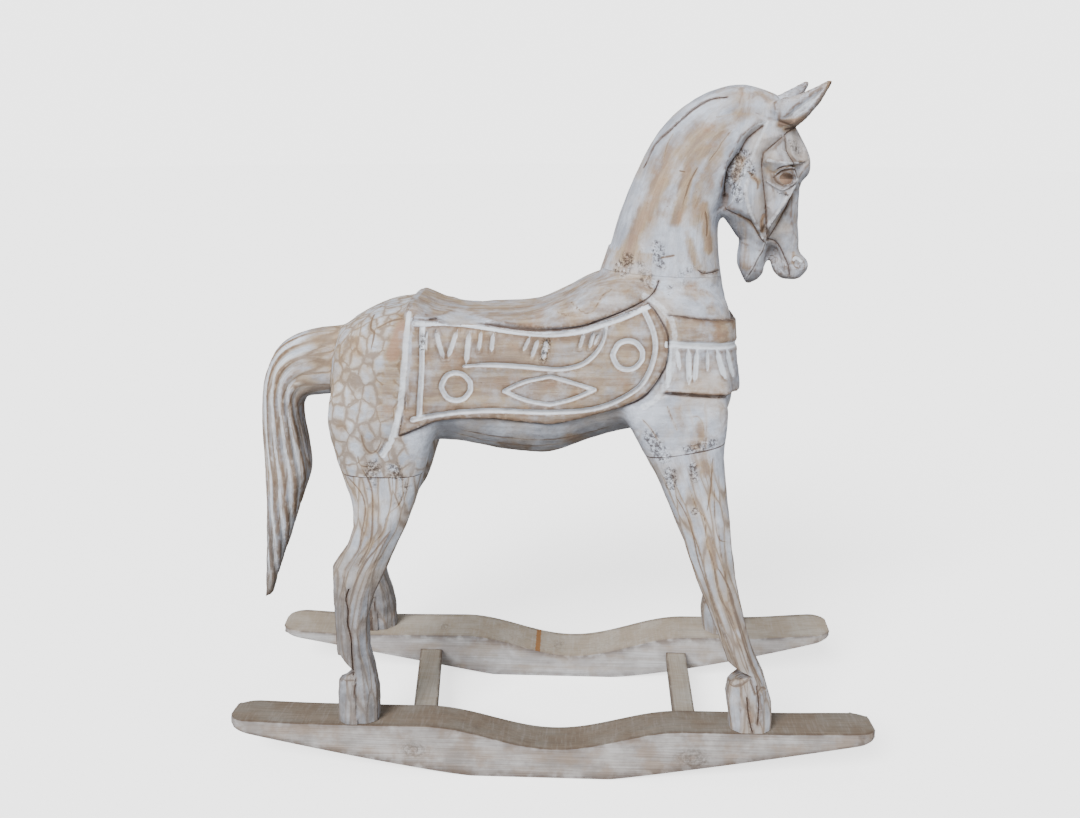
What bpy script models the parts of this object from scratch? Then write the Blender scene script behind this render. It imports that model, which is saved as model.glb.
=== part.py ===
# Carved wooden rocking horse: horse in seven glued pieces, on two rocker boards joined by two slats.
# Metres, +Z up. The horse faces +X. The origin is on the floor, mid-way along and between the boards.
import math

import bmesh
import bpy
import numpy as np
from mathutils import Vector

# ---- rocker boards and slats ----
ROCKER_LENGTH = 0.750
ROCKER_SPACING = 0.220        # between the boards' middles, on the floor
ROCKER_THICKNESS = 0.053
ROCKER_DIP_HALF = 0.152       # half the length of the dip in the top edge
ROCKER_FLAT_HALF = 0.080      # half the length of the flat underside it stands on
ROCKER_TIP = 0.009            # board height left at its tips
ROCKER_RISE_FROM = 0.262      # the top rises towards the tips past the hooves
ROCKER_LEAN = 0.090           # the boards lean inwards, radians
# each board is sawn by hand: side, height mid-length without the dip, slope of the top, depth and
# place of the dip, rise at the tips, and the middle of the flat underside
BOARDS = {
    "rocker_right": {"side": -1, "height": 0.059, "slope": 0.004, "dip": 0.025, "dip_x": 0.008,
                     "rise": 0.001, "flat_x": -0.010},
    "rocker_left": {"side": 1, "height": 0.0655, "slope": 0.012, "dip": 0.030, "dip_x": 0.028,
                    "rise": 0.006, "flat_x": 0.0},
}
ROCKER_REAR_ROUND = 0.026     # corner radius in plan at the rear
ROCKER_FRONT_CHAMFER = 0.020  # corner cut in plan at the front
SLATS = {"crossbar_front": (0.1635, 0.166), "crossbar_rear": (-0.152, -0.167)}  # x at right and left end
SLAT_WIDTH = 0.029
SLAT_THICKNESS = 0.013
SLAT_TOP = 0.040

# ---- fit and mesh ----
GAP = 0.0003                  # left between pieces that touch
VOXEL = 0.0036
HORSE_TRIANGLES = 7900         # before the joints are cut
RING_SEGMENTS = 28
RINGS_PER_SPAN = 5
BOARD_RINGS = 41

# ---- horse: each row is one cross-section, (x, z) at its back or low end, (x, z) at its front or
# high end, and half its width; a row is given only where the outline changes ----
TORSO = (
    ((-0.252, 0.388), (-0.250, 0.472), 0.044),
    ((-0.244, 0.356), (-0.240, 0.505), 0.066),
    ((-0.222, 0.350), (-0.222, 0.522), 0.080),
    ((-0.190, 0.360), (-0.190, 0.537), 0.088),
    ((-0.155, 0.373), (-0.155, 0.541), 0.089),
    ((-0.110, 0.375), (-0.110, 0.526), 0.085),
    ((-0.050, 0.364), (-0.050, 0.518), 0.082),
    ((0.000, 0.362), (0.000, 0.522), 0.082),
    ((0.045, 0.379), (0.045, 0.545), 0.082),
    ((0.090, 0.391), (0.090, 0.560), 0.080),
    ((0.135, 0.394), (0.130, 0.565), 0.075),
    ((0.175, 0.392), (0.165, 0.562), 0.066),
    ((0.195, 0.400), (0.188, 0.552), 0.054),
    ((0.206, 0.422), (0.199, 0.530), 0.038),
)
SEAT = (
    ((-0.154, 0.524), (-0.158, 0.543), 0.070),
    ((-0.151, 0.520), (-0.154, 0.550), 0.074),
    ((-0.139, 0.516), (-0.142, 0.548), 0.077),
    ((-0.110, 0.510), (-0.110, 0.534), 0.080),
    ((-0.070, 0.504), (-0.070, 0.532), 0.081),
    ((-0.020, 0.499), (-0.020, 0.535), 0.081),
    ((0.015, 0.500), (0.015, 0.547), 0.080),
    ((0.045, 0.508), (0.045, 0.564), 0.078),
    ((0.080, 0.516), (0.080, 0.573), 0.072),
    ((0.110, 0.526), (0.110, 0.570), 0.064),
)
NECK = (
    ((0.035, 0.500), (0.200, 0.490), 0.056),
    ((0.044, 0.545), (0.196, 0.535), 0.052),
    ((0.055, 0.578), (0.189, 0.568), 0.048),
    ((0.066, 0.610), (0.184, 0.602), 0.044),
    ((0.077, 0.642), (0.184, 0.630), 0.041),
    ((0.092, 0.680), (0.192, 0.653), 0.038),
    ((0.113, 0.721), (0.206, 0.673), 0.035),
    ((0.139, 0.749), (0.220, 0.690), 0.032),
    ((0.171, 0.767), (0.236, 0.700), 0.029),
    ((0.205, 0.772), (0.246, 0.710), 0.026),
    ((0.238, 0.762), (0.256, 0.715), 0.021),
)
SKULL = (
    ((0.224, 0.752), (0.247, 0.750), 0.018),
    ((0.214, 0.735), (0.258, 0.732), 0.029),
    ((0.200, 0.708), (0.265, 0.708), 0.035),
    ((0.191, 0.682), (0.268, 0.682), 0.037),
    ((0.186, 0.660), (0.268, 0.658), 0.036),
    ((0.183, 0.643), (0.269, 0.638), 0.033),
    ((0.194, 0.626), (0.270, 0.622), 0.028),
    ((0.204, 0.612), (0.271, 0.607), 0.024),
)
UPPER_JAW = (
    ((0.215, 0.628), (0.270, 0.624), 0.026),
    ((0.232, 0.609), (0.272, 0.606), 0.023),
    ((0.242, 0.596), (0.274, 0.595), 0.021),
    ((0.246, 0.582), (0.284, 0.587), 0.022),
    ((0.249, 0.572), (0.287, 0.576), 0.020),
    ((0.255, 0.561), (0.278, 0.562), 0.014),
)
LOWER_JAW = (
    ((0.196, 0.626), (0.245, 0.624), 0.024),
    ((0.204, 0.611), (0.238, 0.608), 0.021),
    ((0.207, 0.597), (0.236, 0.597), 0.018),
    ((0.206, 0.581), (0.236, 0.582), 0.016),
    ((0.208, 0.567), (0.237, 0.568), 0.013),
    ((0.214, 0.558), (0.226, 0.558), 0.008),
)
FORELOCK = (
    ((0.244, 0.738), (0.257, 0.733), 0.012),
    ((0.248, 0.716), (0.269, 0.714), 0.017),
    ((0.250, 0.697), (0.279, 0.697), 0.020),
    ((0.250, 0.683), (0.280, 0.681), 0.020),
    ((0.248, 0.675), (0.272, 0.674), 0.017),
)
EAR = (
    ((0.236, 0.730), (0.228, 0.754), 0.009),
    ((0.249, 0.726), (0.242, 0.759), 0.010),
    ((0.262, 0.731), (0.251, 0.763), 0.010),
    ((0.274, 0.741), (0.261, 0.768), 0.009),
    ((0.286, 0.757), (0.271, 0.771), 0.007),
    ((0.291, 0.773), (0.284, 0.777), 0.004),
)
EAR_Y = 0.027                 # ears stand this far from the middle
TAIL = (
    ((-0.225, 0.440), (-0.228, 0.508), 0.024),
    ((-0.250, 0.427), (-0.248, 0.506), 0.025),
    ((-0.276, 0.423), (-0.276, 0.502), 0.026),
    ((-0.288, 0.421), (-0.305, 0.492), 0.027),
    ((-0.294, 0.414), (-0.325, 0.474), 0.028),
    ((-0.297, 0.403), (-0.337, 0.447), 0.028),
    ((-0.296, 0.385), (-0.343, 0.415), 0.028),
    ((-0.292, 0.358), (-0.346, 0.372), 0.027),
    ((-0.292, 0.325), (-0.347, 0.325), 0.025),
    ((-0.304, 0.292), (-0.349, 0.288), 0.021),
    ((-0.319, 0.250), (-0.352, 0.243), 0.016),
    ((-0.334, 0.210), (-0.356, 0.203), 0.011),
    ((-0.351, 0.160), (-0.361, 0.156), 0.006),
)
HIND_LEG = (
    ((-0.240, 0.470), (-0.135, 0.470), 0.014),
    ((-0.250, 0.420), (-0.123, 0.420), 0.030),
    ((-0.2435, 0.382), (-0.131, 0.380), 0.030),
    ((-0.2335, 0.350), (-0.142, 0.350), 0.028),
    ((-0.2245, 0.322), (-0.151, 0.322), 0.025),
    ((-0.223, 0.292), (-0.163, 0.292), 0.022),
    ((-0.231, 0.268), (-0.175, 0.268), 0.020),
    ((-0.2475, 0.245), (-0.186, 0.242), 0.018),
    ((-0.248, 0.215), (-0.201, 0.212), 0.017),
    ((-0.247, 0.180), (-0.210, 0.180), 0.0165),
    ((-0.246, 0.145), (-0.209, 0.145), 0.017),
    ((-0.243, 0.120), (-0.203, 0.120), 0.019),
    ((-0.245, 0.095), (-0.199, 0.095), 0.021),
    ((-0.245, 0.040), (-0.199, 0.040), 0.021),
)
FORE_LEG = (
    ((0.090, 0.476), (0.186, 0.476), 0.006),
    ((0.080, 0.430), (0.197, 0.430), 0.024),
    ((0.099, 0.390), (0.192, 0.388), 0.030),
    ((0.116, 0.356), (0.1945, 0.354), 0.027),
    ((0.133, 0.317), (0.1995, 0.315), 0.024),
    ((0.149, 0.280), (0.204, 0.278), 0.0215),
    ((0.163, 0.243), (0.2105, 0.240), 0.0195),
    ((0.179, 0.208), (0.2185, 0.205), 0.0175),
    ((0.191, 0.180), (0.2265, 0.178), 0.017),
    ((0.202, 0.152), (0.236, 0.150), 0.017),
    ((0.210, 0.125), (0.249, 0.122), 0.019),
    ((0.204, 0.098), (0.257, 0.095), 0.021),
    ((0.211, 0.070), (0.258, 0.068), 0.021),
    ((0.211, 0.040), (0.258, 0.040), 0.021),
)
LEG_FOOT_Y = 0.1085           # a hoof's middle, on the board
LEG_FOOT_Z = 0.062
LEG_SPLAY = 0.122             # sideways step outwards for each metre down
LEG_SET_BACK = {"hind_leg_left": 0.018, "fore_leg_left": 0.006}  # how far back these hooves stand
LEG_SET_BACK_FROM = 0.30      # the leg starts to slant back below this height
# how square the sections are, in their lower and upper halves; 2 is an ellipse
SQUARENESS = {"torso": (2.3, 3.6), "seat": (3.6, 2.6), "neck": (2.3, 2.3), "head": (2.6, 2.6),
              "tail": (2.6, 2.6), "leg": (2.8, 2.8), "ear": (2.0, 2.0)}

# ---- joints cut through the horse: a point on the cut, and the side that the outer piece lies on ----
NECK_CUT = (Vector((0.120, 0.0, 0.5735)), Vector((0.055, 0.0, 1.0)))
TAIL_CUT = (Vector((-0.252, 0.0, 0.463)), Vector((-1.0, 0.0, 0.22)))
HIND_CUT = (Vector((-0.190, 0.0, 0.3530)), Vector((0.0, 0.0, -1.0)))
FORE_CUT = (Vector((0.155, 0.0, 0.3840)), Vector((0.176, 0.0, -1.0)))
MUZZLE_BACK = 0.2005          # the muzzle hangs below the neck joint, in front of this and above
MUZZLE_LOW = 0.5450           # this, and isn't cut by it

# ---- carving on the sides, as (x, z) outlines ----
BLANKET = (
    (-0.147, 0.520), (-0.152, 0.478), (-0.159, 0.428), (-0.164, 0.405), (-0.120, 0.419),
    (-0.070, 0.422), (0.000, 0.416), (0.052, 0.428), (0.104, 0.450), (0.122, 0.480),
    (0.124, 0.512), (0.104, 0.546), (0.050, 0.522), (0.000, 0.512), (-0.070, 0.518),
)
BLANKET_RISE = 0.004
DIAMOND = ((-0.050, 0.454), (0.000, 0.470), (0.048, 0.456), (0.000, 0.438))
ROUNDELS = ((-0.102, 0.458), (0.083, 0.494))
ROUNDEL_RADIUS = 0.0155
BORDER_INSET = 0.010
GROOVE_HALF = 0.0034
GROOVE_DEPTH = 0.0022
# the strap's edges and middle line drop towards the front: height at STRAP_REAR, and slope
STRAP_REAR = 0.122
STRAP_LOW = (0.4510, -0.07)
STRAP_HIGH = (0.5360, -0.15)
STRAP_LINE = (0.5090, -0.13)
STRAP_RISE = 0.0055
TAIL_FLUTES = 14              # all round the tail
TAIL_FLUTE_DEPTH = 0.0024
EYE = (0.2485, 0.6765)
EYE_RADIUS = 0.0052
SOCKET_RADIUS = 0.0115
NOSTRIL = (0.2735, 0.5820)
JAW_LINE = ((0.226, 0.736), (0.202, 0.709), (0.190, 0.677), (0.186, 0.645), (0.207, 0.613), (0.207, 0.585),
            (0.222, 0.590), (0.229, 0.608), (0.228, 0.655), (0.221, 0.698), (0.236, 0.720))
JAW_RISE = 0.0022
# notch above each heel: (x, z) of its upper lip, its bottom and its lower lip
HEEL_NOTCH = {
    "hind": ((-0.252, 0.142), (-0.231, 0.1185), (-0.249, 0.103)),
    "fore": ((0.199, 0.140), (0.2235, 0.1235), (0.199, 0.1145)),
}

COLOURS = {
    "body": (0.74, 0.70, 0.66), "head_and_neck": (0.74, 0.70, 0.66), "tail": (0.70, 0.60, 0.51),
    "fore_leg_right": (0.73, 0.69, 0.64), "fore_leg_left": (0.73, 0.69, 0.64),
    "hind_leg_right": (0.73, 0.69, 0.64), "hind_leg_left": (0.73, 0.69, 0.64),
    "rocker_right": (0.62, 0.56, 0.50), "rocker_left": (0.62, 0.56, 0.50),
    "crossbar_front": (0.62, 0.56, 0.49), "crossbar_rear": (0.62, 0.56, 0.49),
}


# ---------------------------------------------------------------- helpers
def clear_scene():
    for thing in list(bpy.data.objects):
        bpy.data.objects.remove(thing)


def make_collection(name):
    group = bpy.data.collections.new(name)
    bpy.context.scene.collection.children.link(group)
    return group


def paint(thing, colour, roughness):
    material = bpy.data.materials.new(thing.name)
    material.use_nodes = True
    shader = material.node_tree.nodes["Principled BSDF"]
    shader.inputs["Base Color"].default_value = (*colour, 1.0)
    shader.inputs["Roughness"].default_value = roughness
    shader.inputs["Metallic"].default_value = 0.0
    thing.data.materials.clear()
    thing.data.materials.append(material)


def smooth_step(value):
    value = np.clip(value, 0.0, 1.0)
    return value * value * (3.0 - 2.0 * value)


def between(values, place):
    """Catmull-Rom value at a place counted in rows."""
    index = min(int(place), len(values) - 2)
    t = place - index
    p1, p2 = values[index], values[index + 1]
    p0 = values[max(index - 1, 0)]
    p3 = values[min(index + 2, len(values) - 1)]
    slope1 = (p2 - p0) * 0.5
    slope2 = (p3 - p1) * 0.5
    return ((2 * t**3 - 3 * t**2 + 1) * p1 + (t**3 - 2 * t**2 + t) * slope1
            + (-2 * t**3 + 3 * t**2) * p2 + (t**3 - t**2) * slope2)


def loft(bm, rows, squareness, middle_y=lambda z: 0.0):
    """Skin a closed form over superellipse rings that follow the rows."""
    table = np.array([(*low, *high, half) for low, high, half in rows])
    steps = (len(rows) - 1) * RINGS_PER_SPAN
    previous = None
    rings = []
    for step in range(steps + 1):
        low_x, low_z, high_x, high_z, half = between(table, step / RINGS_PER_SPAN)
        centre_z = (low_z + high_z) / 2
        made = bmesh.ops.create_circle(bm, segments=RING_SEGMENTS, radius=1.0)["verts"]
        for vert in made:
            power = 2 / squareness[vert.co.y > 0.0]
            across = math.copysign(abs(vert.co.x) ** power, vert.co.x)
            along = math.copysign(abs(vert.co.y) ** power, vert.co.y)
            z = centre_z + along * (high_z - low_z) / 2
            vert.co = ((low_x + high_x) / 2 + along * (high_x - low_x) / 2, across * half + middle_y(z), z)
        edges = list({edge for vert in made for edge in vert.link_edges})
        rings.append(edges)
        if previous:
            bmesh.ops.bridge_loops(bm, edges=previous + edges)
        previous = edges
    bmesh.ops.holes_fill(bm, edges=rings[0] + rings[-1])


def leg_middle(side):
    """Sideways place of a leg's middle at a height."""
    return lambda z: side * (LEG_FOOT_Y - LEG_SPLAY * (z - LEG_FOOT_Z))


def set_back(rows, distance):
    """The same leg with its lower part standing further back."""
    def moved(x, z):
        return x - distance * float(smooth_step((LEG_SET_BACK_FROM - z) / 0.12)), z
    return tuple((moved(*low), moved(*high), half) for low, high, half in rows)


def object_from(bm, name, group):
    bmesh.ops.recalc_face_normals(bm, faces=bm.faces)
    mesh = bpy.data.meshes.new(name)
    bm.to_mesh(mesh)
    bm.free()
    thing = bpy.data.objects.new(name, mesh)
    group.objects.link(thing)
    return thing


def apply_modifiers(thing):
    """Replace the object's mesh by its evaluated one."""
    depsgraph = bpy.context.evaluated_depsgraph_get()
    mesh = bpy.data.meshes.new_from_object(thing.evaluated_get(depsgraph))
    thing.modifiers.clear()
    thing.data = mesh


def outline_distance(x, z, points):
    """Distance to a closed outline, negative inside."""
    nearest = np.full(len(x), 9.0)
    inside = np.zeros(len(x), dtype=bool)
    for (ax, az), (bx, bz) in zip(points, points[1:] + points[:1]):
        t = ((x - ax) * (bx - ax) + (z - az) * (bz - az)) / ((bx - ax) ** 2 + (bz - az) ** 2)
        t = np.clip(t, 0.0, 1.0)
        nearest = np.minimum(nearest, np.hypot(x - ax - t * (bx - ax), z - az - t * (bz - az)))
        crosses = (az > z) != (bz > z)
        reach = ax + (z - az) / np.where(bz == az, 1.0, bz - az) * (bx - ax)
        inside ^= crosses & (x < reach)
    return np.where(inside, -nearest, nearest)


# ---------------------------------------------------------------- horse
def rough_horse(group):
    """All the horse's masses as overlapping lofts, fused into one skin."""
    bm = bmesh.new()
    loft(bm, TORSO, SQUARENESS["torso"])
    loft(bm, SEAT, SQUARENESS["seat"])
    loft(bm, NECK, SQUARENESS["neck"])
    loft(bm, SKULL, SQUARENESS["head"])
    loft(bm, UPPER_JAW, SQUARENESS["head"])
    loft(bm, LOWER_JAW, SQUARENESS["head"])
    loft(bm, FORELOCK, SQUARENESS["head"])
    loft(bm, TAIL, SQUARENESS["tail"])
    for side, word in ((-1, "right"), (1, "left")):
        loft(bm, EAR, SQUARENESS["ear"], lambda z, side=side: side * EAR_Y)
        for rows, kind in ((HIND_LEG, "hind_leg_"), (FORE_LEG, "fore_leg_")):
            rows = set_back(rows, LEG_SET_BACK.get(kind + word, 0.0))
            loft(bm, rows, SQUARENESS["leg"], leg_middle(side))
    horse = object_from(bm, "horse", group)
    remesh = horse.modifiers.new("Fuse", "REMESH")
    remesh.mode = "VOXEL"
    remesh.voxel_size = VOXEL
    apply_modifiers(horse)
    return horse


def soften(horse):
    """Ease the joins between the masses, most where the legs and neck meet the torso."""
    bm = bmesh.new()
    bm.from_mesh(horse.data)
    for _ in range(3):
        bmesh.ops.smooth_vert(bm, verts=bm.verts, factor=0.5, use_axis_x=True, use_axis_y=True,
                              use_axis_z=True)
    joins = [v for v in bm.verts if 0.375 < v.co.z < 0.600 and (abs(v.co.y) > 0.030 or v.co.z > 0.55)
             and not (-0.165 < v.co.x < 0.060 and v.co.z > 0.470)]
    for _ in range(6):
        bmesh.ops.smooth_vert(bm, verts=joins, factor=0.5, use_axis_x=True, use_axis_y=True,
                              use_axis_z=True)
    bm.to_mesh(horse.data)
    bm.free()


def groove(distance):
    """Round-bottomed cut whose middle is where the distance is nought."""
    return -GROOVE_DEPTH * smooth_step(1.0 - np.abs(distance) / GROOVE_HALF)


def blanket_carving(x, z, side):
    """Raised blanket with its border, roundels and diamond, on the flanks only."""
    edge = outline_distance(x, z, BLANKET)
    height = BLANKET_RISE * smooth_step(0.5 - edge / 0.003)
    marks = groove(edge + BORDER_INSET)
    for centre_x, centre_z in ROUNDELS:
        marks = np.minimum(marks, groove(np.hypot(x - centre_x, z - centre_z) - ROUNDEL_RADIUS))
    marks = np.minimum(marks, groove(outline_distance(x, z, DIAMOND)))
    return (height + marks * (edge < 0.0)) * side


def strap_carving(x, z):
    """Chest strap standing proud round the front, with the line that parts its two bands."""
    low, high, line = (start + slope * (x - STRAP_REAR)
                       for start, slope in (STRAP_LOW, STRAP_HIGH, STRAP_LINE))
    reach = np.minimum(np.minimum(z - low, high - z), (x - STRAP_REAR) * 0.4)
    height = STRAP_RISE * smooth_step(0.5 + reach / 0.003)
    return height + groove(z - line) * (reach > 0.0)


def tail_carving(x, y, z):
    """Long flutes that follow the tail's bend and run together at its tip."""
    table = np.array([(*low, *high, half) for low, high, half in TAIL])
    nearest = np.full(len(x), 9.0)
    turn = np.zeros(len(x))
    for step in range((len(TAIL) - 1) * 6 + 1):
        low_x, low_z, high_x, high_z, half = between(table, step / 6)
        span = math.hypot(high_x - low_x, high_z - low_z)
        along_x, along_z = (high_x - low_x) / span, (high_z - low_z) / span
        off_x, off_z = x - (low_x + high_x) / 2, z - (low_z + high_z) / 2
        apart = np.abs(off_x * along_z - off_z * along_x)
        closer = apart < nearest
        nearest = np.where(closer, apart, nearest)
        turn = np.where(closer, np.arctan2(y / half, (off_x * along_x + off_z * along_z) / span * 2), turn)
    fade = smooth_step((-0.262 - x) / 0.03)
    return -TAIL_FLUTE_DEPTH * fade * (0.5 + 0.5 * np.cos(turn * TAIL_FLUTES))


def head_carving(x, y, z):
    """Eye in its socket, nostril, and the cheek standing proud of the neck."""
    eye = np.hypot(x - EYE[0], (z - EYE[1]) * 1.2)
    push = -0.0032 * smooth_step(1.0 - (eye - EYE_RADIUS) / (SOCKET_RADIUS - EYE_RADIUS))
    push += 0.0036 * smooth_step(1.6 - eye / EYE_RADIUS)
    push -= 0.0030 * smooth_step(1.4 - np.hypot(x - NOSTRIL[0], z - NOSTRIL[1]) / 0.0055)
    push += JAW_RISE * smooth_step(0.5 - outline_distance(x, z, JAW_LINE) / 0.002)
    return push * smooth_step((np.abs(y) - 0.008) / 0.006)


def heel_notch(kind, x, y, z):
    """The x of each point after a V is cut into the back of the legs, above the heel."""
    lips = sorted(HEEL_NOTCH[kind], key=lambda lip: lip[1])
    edge = np.interp(z, [lip[1] for lip in lips], [lip[0] for lip in lips])
    edge -= np.where(y > 0.0, LEG_SET_BACK[kind + "_leg_left"], 0.0)
    inside = (z > lips[0][1]) & (z < lips[-1][1]) & (np.abs(x - lips[1][0]) < 0.06)
    return np.where(inside, np.maximum(x, edge), x)


def carve(horse):
    mesh = horse.data
    count = len(mesh.vertices)
    place = np.empty(count * 3)
    normal = np.empty(count * 3)
    mesh.vertices.foreach_get("co", place)
    mesh.vertices.foreach_get("normal", normal)
    place = place.reshape(-1, 3)
    normal = normal.reshape(-1, 3)
    x, y, z = place.T
    side = smooth_step((np.abs(y) - 0.045) / 0.015)
    on_torso = (x < 0.18) & (x > -0.20) & (z > 0.39)
    push = blanket_carving(x, z, side) * on_torso
    push += strap_carving(x, z) * (x > 0.10)
    push += tail_carving(x, y, z) * (x < -0.26)
    push += head_carving(x, y, z) * (x > 0.18) * (z > 0.545)
    place += normal * push[:, None]
    for kind in ("hind", "fore"):
        place[:, 0] = heel_notch(kind, *place.T)
    mesh.vertices.foreach_set("co", place.ravel())
    mesh.update()


def thin_out(horse):
    """Merge the flat areas' triangles, keeping the carved edges."""
    mesh = horse.data
    mesh.calc_loop_triangles()
    decimate = horse.modifiers.new("Thin", "DECIMATE")
    decimate.ratio = HORSE_TRIANGLES / len(mesh.loop_triangles)
    decimate.use_symmetry = True
    decimate.symmetry_axis = "Y"
    apply_modifiers(horse)


def cut(bm, plane, keep_outer, gap=GAP):
    """Cut by a plane and close the cut, keeping the side it points to or the other one."""
    point, direction = plane
    direction = direction.normalized()
    point = point + direction * (gap / 2 if keep_outer else -gap / 2)
    muzzle = {v for v in bm.verts if v.co.x > MUZZLE_BACK and v.co.z > MUZZLE_LOW}
    geometry = [v for v in bm.verts if v not in muzzle]
    geometry += [item for item in bm.edges[:] + bm.faces[:] if not muzzle.issuperset(item.verts)]
    made = bmesh.ops.bisect_plane(bm, geom=geometry, plane_co=point, plane_no=direction,
                                  clear_outer=not keep_outer, clear_inner=keep_outer)
    edges = [item for item in made["geom_cut"] if isinstance(item, bmesh.types.BMEdge)]
    bmesh.ops.holes_fill(bm, edges=edges)


def keep_island(bm, near):
    """Drop every island but the one whose middle is nearest to a point."""
    unseen = set(bm.verts)
    islands = []
    while unseen:
        stack = [unseen.pop()]
        island = set(stack)
        while stack:
            for edge in stack.pop().link_edges:
                for vert in edge.verts:
                    if vert in unseen:
                        unseen.remove(vert)
                        island.add(vert)
                        stack.append(vert)
        islands.append(island)
    def distance(island):
        middle = sum((vert.co for vert in island), Vector()) / len(island)
        return (middle - near).length + (10.0 if len(island) < 20 else 0.0)
    kept = min(islands, key=distance)
    bmesh.ops.delete(bm, geom=[v for v in bm.verts if v not in kept], context="VERTS")


def horse_piece(horse, name, group, cuts, near):
    """One piece of the horse between its cuts."""
    bm = bmesh.new()
    bm.from_mesh(horse.data)
    for plane, keep_outer in cuts:
        cut(bm, plane, keep_outer)
    keep_island(bm, Vector(near))
    bmesh.ops.triangulate(bm, faces=bm.faces)
    bmesh.ops.dissolve_degenerate(bm, dist=0.00002, edges=bm.edges)
    bmesh.ops.triangulate(bm, faces=bm.faces)
    return object_from(bm, name, group)


def board_middle(side, z):
    """Sideways place of a board's middle at a height."""
    return side * (ROCKER_SPACING / 2 - z * math.tan(ROCKER_LEAN))


def board_top(board):
    """The plane of a board's top face, on which the hooves stand."""
    side, height = board["side"], board["height"]
    point = Vector((0.0, board_middle(side, height), height + GAP / 2))
    return point, Vector((-board["slope"], -side * math.tan(ROCKER_LEAN), 1.0))


def make_horse(group, workshop):
    horse = rough_horse(workshop)
    soften(horse)
    carve(horse)
    thin_out(horse)
    horse_piece(horse, "body", group, ((NECK_CUT, False), (TAIL_CUT, False), (HIND_CUT, False),
                                       (FORE_CUT, False)), (0.0, 0.0, 0.45))
    horse_piece(horse, "head_and_neck", group, ((NECK_CUT, True),), (0.18, 0.0, 0.68))
    horse_piece(horse, "tail", group, ((TAIL_CUT, True),), (-0.32, 0.0, 0.40))
    for side, word in ((-1, "right"), (1, "left")):
        top = board_top(BOARDS["rocker_" + word])
        middle = leg_middle(side)(0.2)
        horse_piece(horse, "hind_leg_" + word, group, ((HIND_CUT, True), (top, True)),
                    (-0.22, middle, 0.22))
        horse_piece(horse, "fore_leg_" + word, group, ((FORE_CUT, True), (top, True)),
                    (0.18, middle, 0.22))
    bpy.data.objects.remove(horse)


# ---------------------------------------------------------------- rockers
def board_profile(board, x):
    """Underside and top of a board at x: flat to stand on, then rising to thin tips."""
    end = ROCKER_LENGTH / 2
    from_flat = abs(x - board["flat_x"] * (1.0 - abs(x) / end))
    past = max(from_flat - ROCKER_FLAT_HALF, 0.0) / (end - ROCKER_FLAT_HALF)
    tip = board["height"] + board["rise"] + board["slope"] * x
    dip = 0.5 + 0.5 * math.cos(math.pi * min(abs(x - board["dip_x"]) / ROCKER_DIP_HALF, 1.0))
    top = board["height"] + board["slope"] * x - board["dip"] * dip
    top += board["rise"] * smooth_step((abs(x) - ROCKER_RISE_FROM) / (end - ROCKER_RISE_FROM))
    return (tip - ROCKER_TIP) * past ** 1.15, top


def board_half_width(x):
    """Half the board's width in plan: rounded at the rear tip, chamfered at the front one."""
    half = ROCKER_THICKNESS / 2
    end = ROCKER_LENGTH / 2
    if x < -end + ROCKER_REAR_ROUND:
        back = (-end + ROCKER_REAR_ROUND - x) / ROCKER_REAR_ROUND
        return half * max(math.sqrt(max(1.0 - back * back, 0.0)), 0.30)
    if x > end - ROCKER_FRONT_CHAMFER:
        return half - (x - end + ROCKER_FRONT_CHAMFER) * 0.62
    return half


def make_rocker(name, group):
    board = BOARDS[name]
    side = board["side"]
    bm = bmesh.new()
    bmesh.ops.create_cube(bm, size=2.0)
    lengthwise = [e for e in bm.edges if abs((e.verts[0].co - e.verts[1].co).x) > 1.0]
    bmesh.ops.subdivide_edges(bm, edges=lengthwise, cuts=BOARD_RINGS - 2, use_grid_fill=True)
    for vert in bm.verts:
        # closer rings towards the tips, where the plan curves
        x = math.copysign(1.0 - (1.0 - abs(vert.co.x)) ** 1.15, vert.co.x) * ROCKER_LENGTH / 2
        low, high = board_profile(board, x)
        across = vert.co.y * board_half_width(x)
        z = high + side * across * math.tan(ROCKER_LEAN) if vert.co.z > 0.0 else low
        vert.co = (x, board_middle(side, z) + across, z)
    return object_from(bm, name, group)


def make_slat(name, ends, group):
    """A flat slat between the boards' inner faces, its ends cut to their lean."""
    bm = bmesh.new()
    bmesh.ops.create_cube(bm, size=2.0)
    for vert in bm.verts:
        z = SLAT_TOP + (vert.co.z - 1.0) * SLAT_THICKNESS / 2
        inner = board_middle(1, z) - ROCKER_THICKNESS / 2 - GAP
        end = ends[0] if vert.co.y < 0.0 else ends[1]
        vert.co = (end + vert.co.x * SLAT_WIDTH / 2, vert.co.y * inner, z)
    return object_from(bm, name, group)


def main():
    clear_scene()
    group = make_collection("rocking_horse")
    workshop = make_collection("workshop")
    make_horse(group, workshop)
    for name in BOARDS:
        make_rocker(name, group)
    for name, ends in SLATS.items():
        make_slat(name, ends, group)
    for thing in group.objects:
        paint(thing, COLOURS[thing.name], 0.75)


main()
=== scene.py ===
# Carved rocking horse in rubbed whitewash: a horse glued up from seven blocks, on two boards and two slats.
# Metres, +Z up; only the tables inside metres() and drawn() are in millimetres. The horse faces +X, and y
# below nought is its right side.
import math
from functools import partial

import bmesh
import bpy
import numpy as np
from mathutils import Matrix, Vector, noise
from mathutils.geometry import delaunay_2d_cdt


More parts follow.
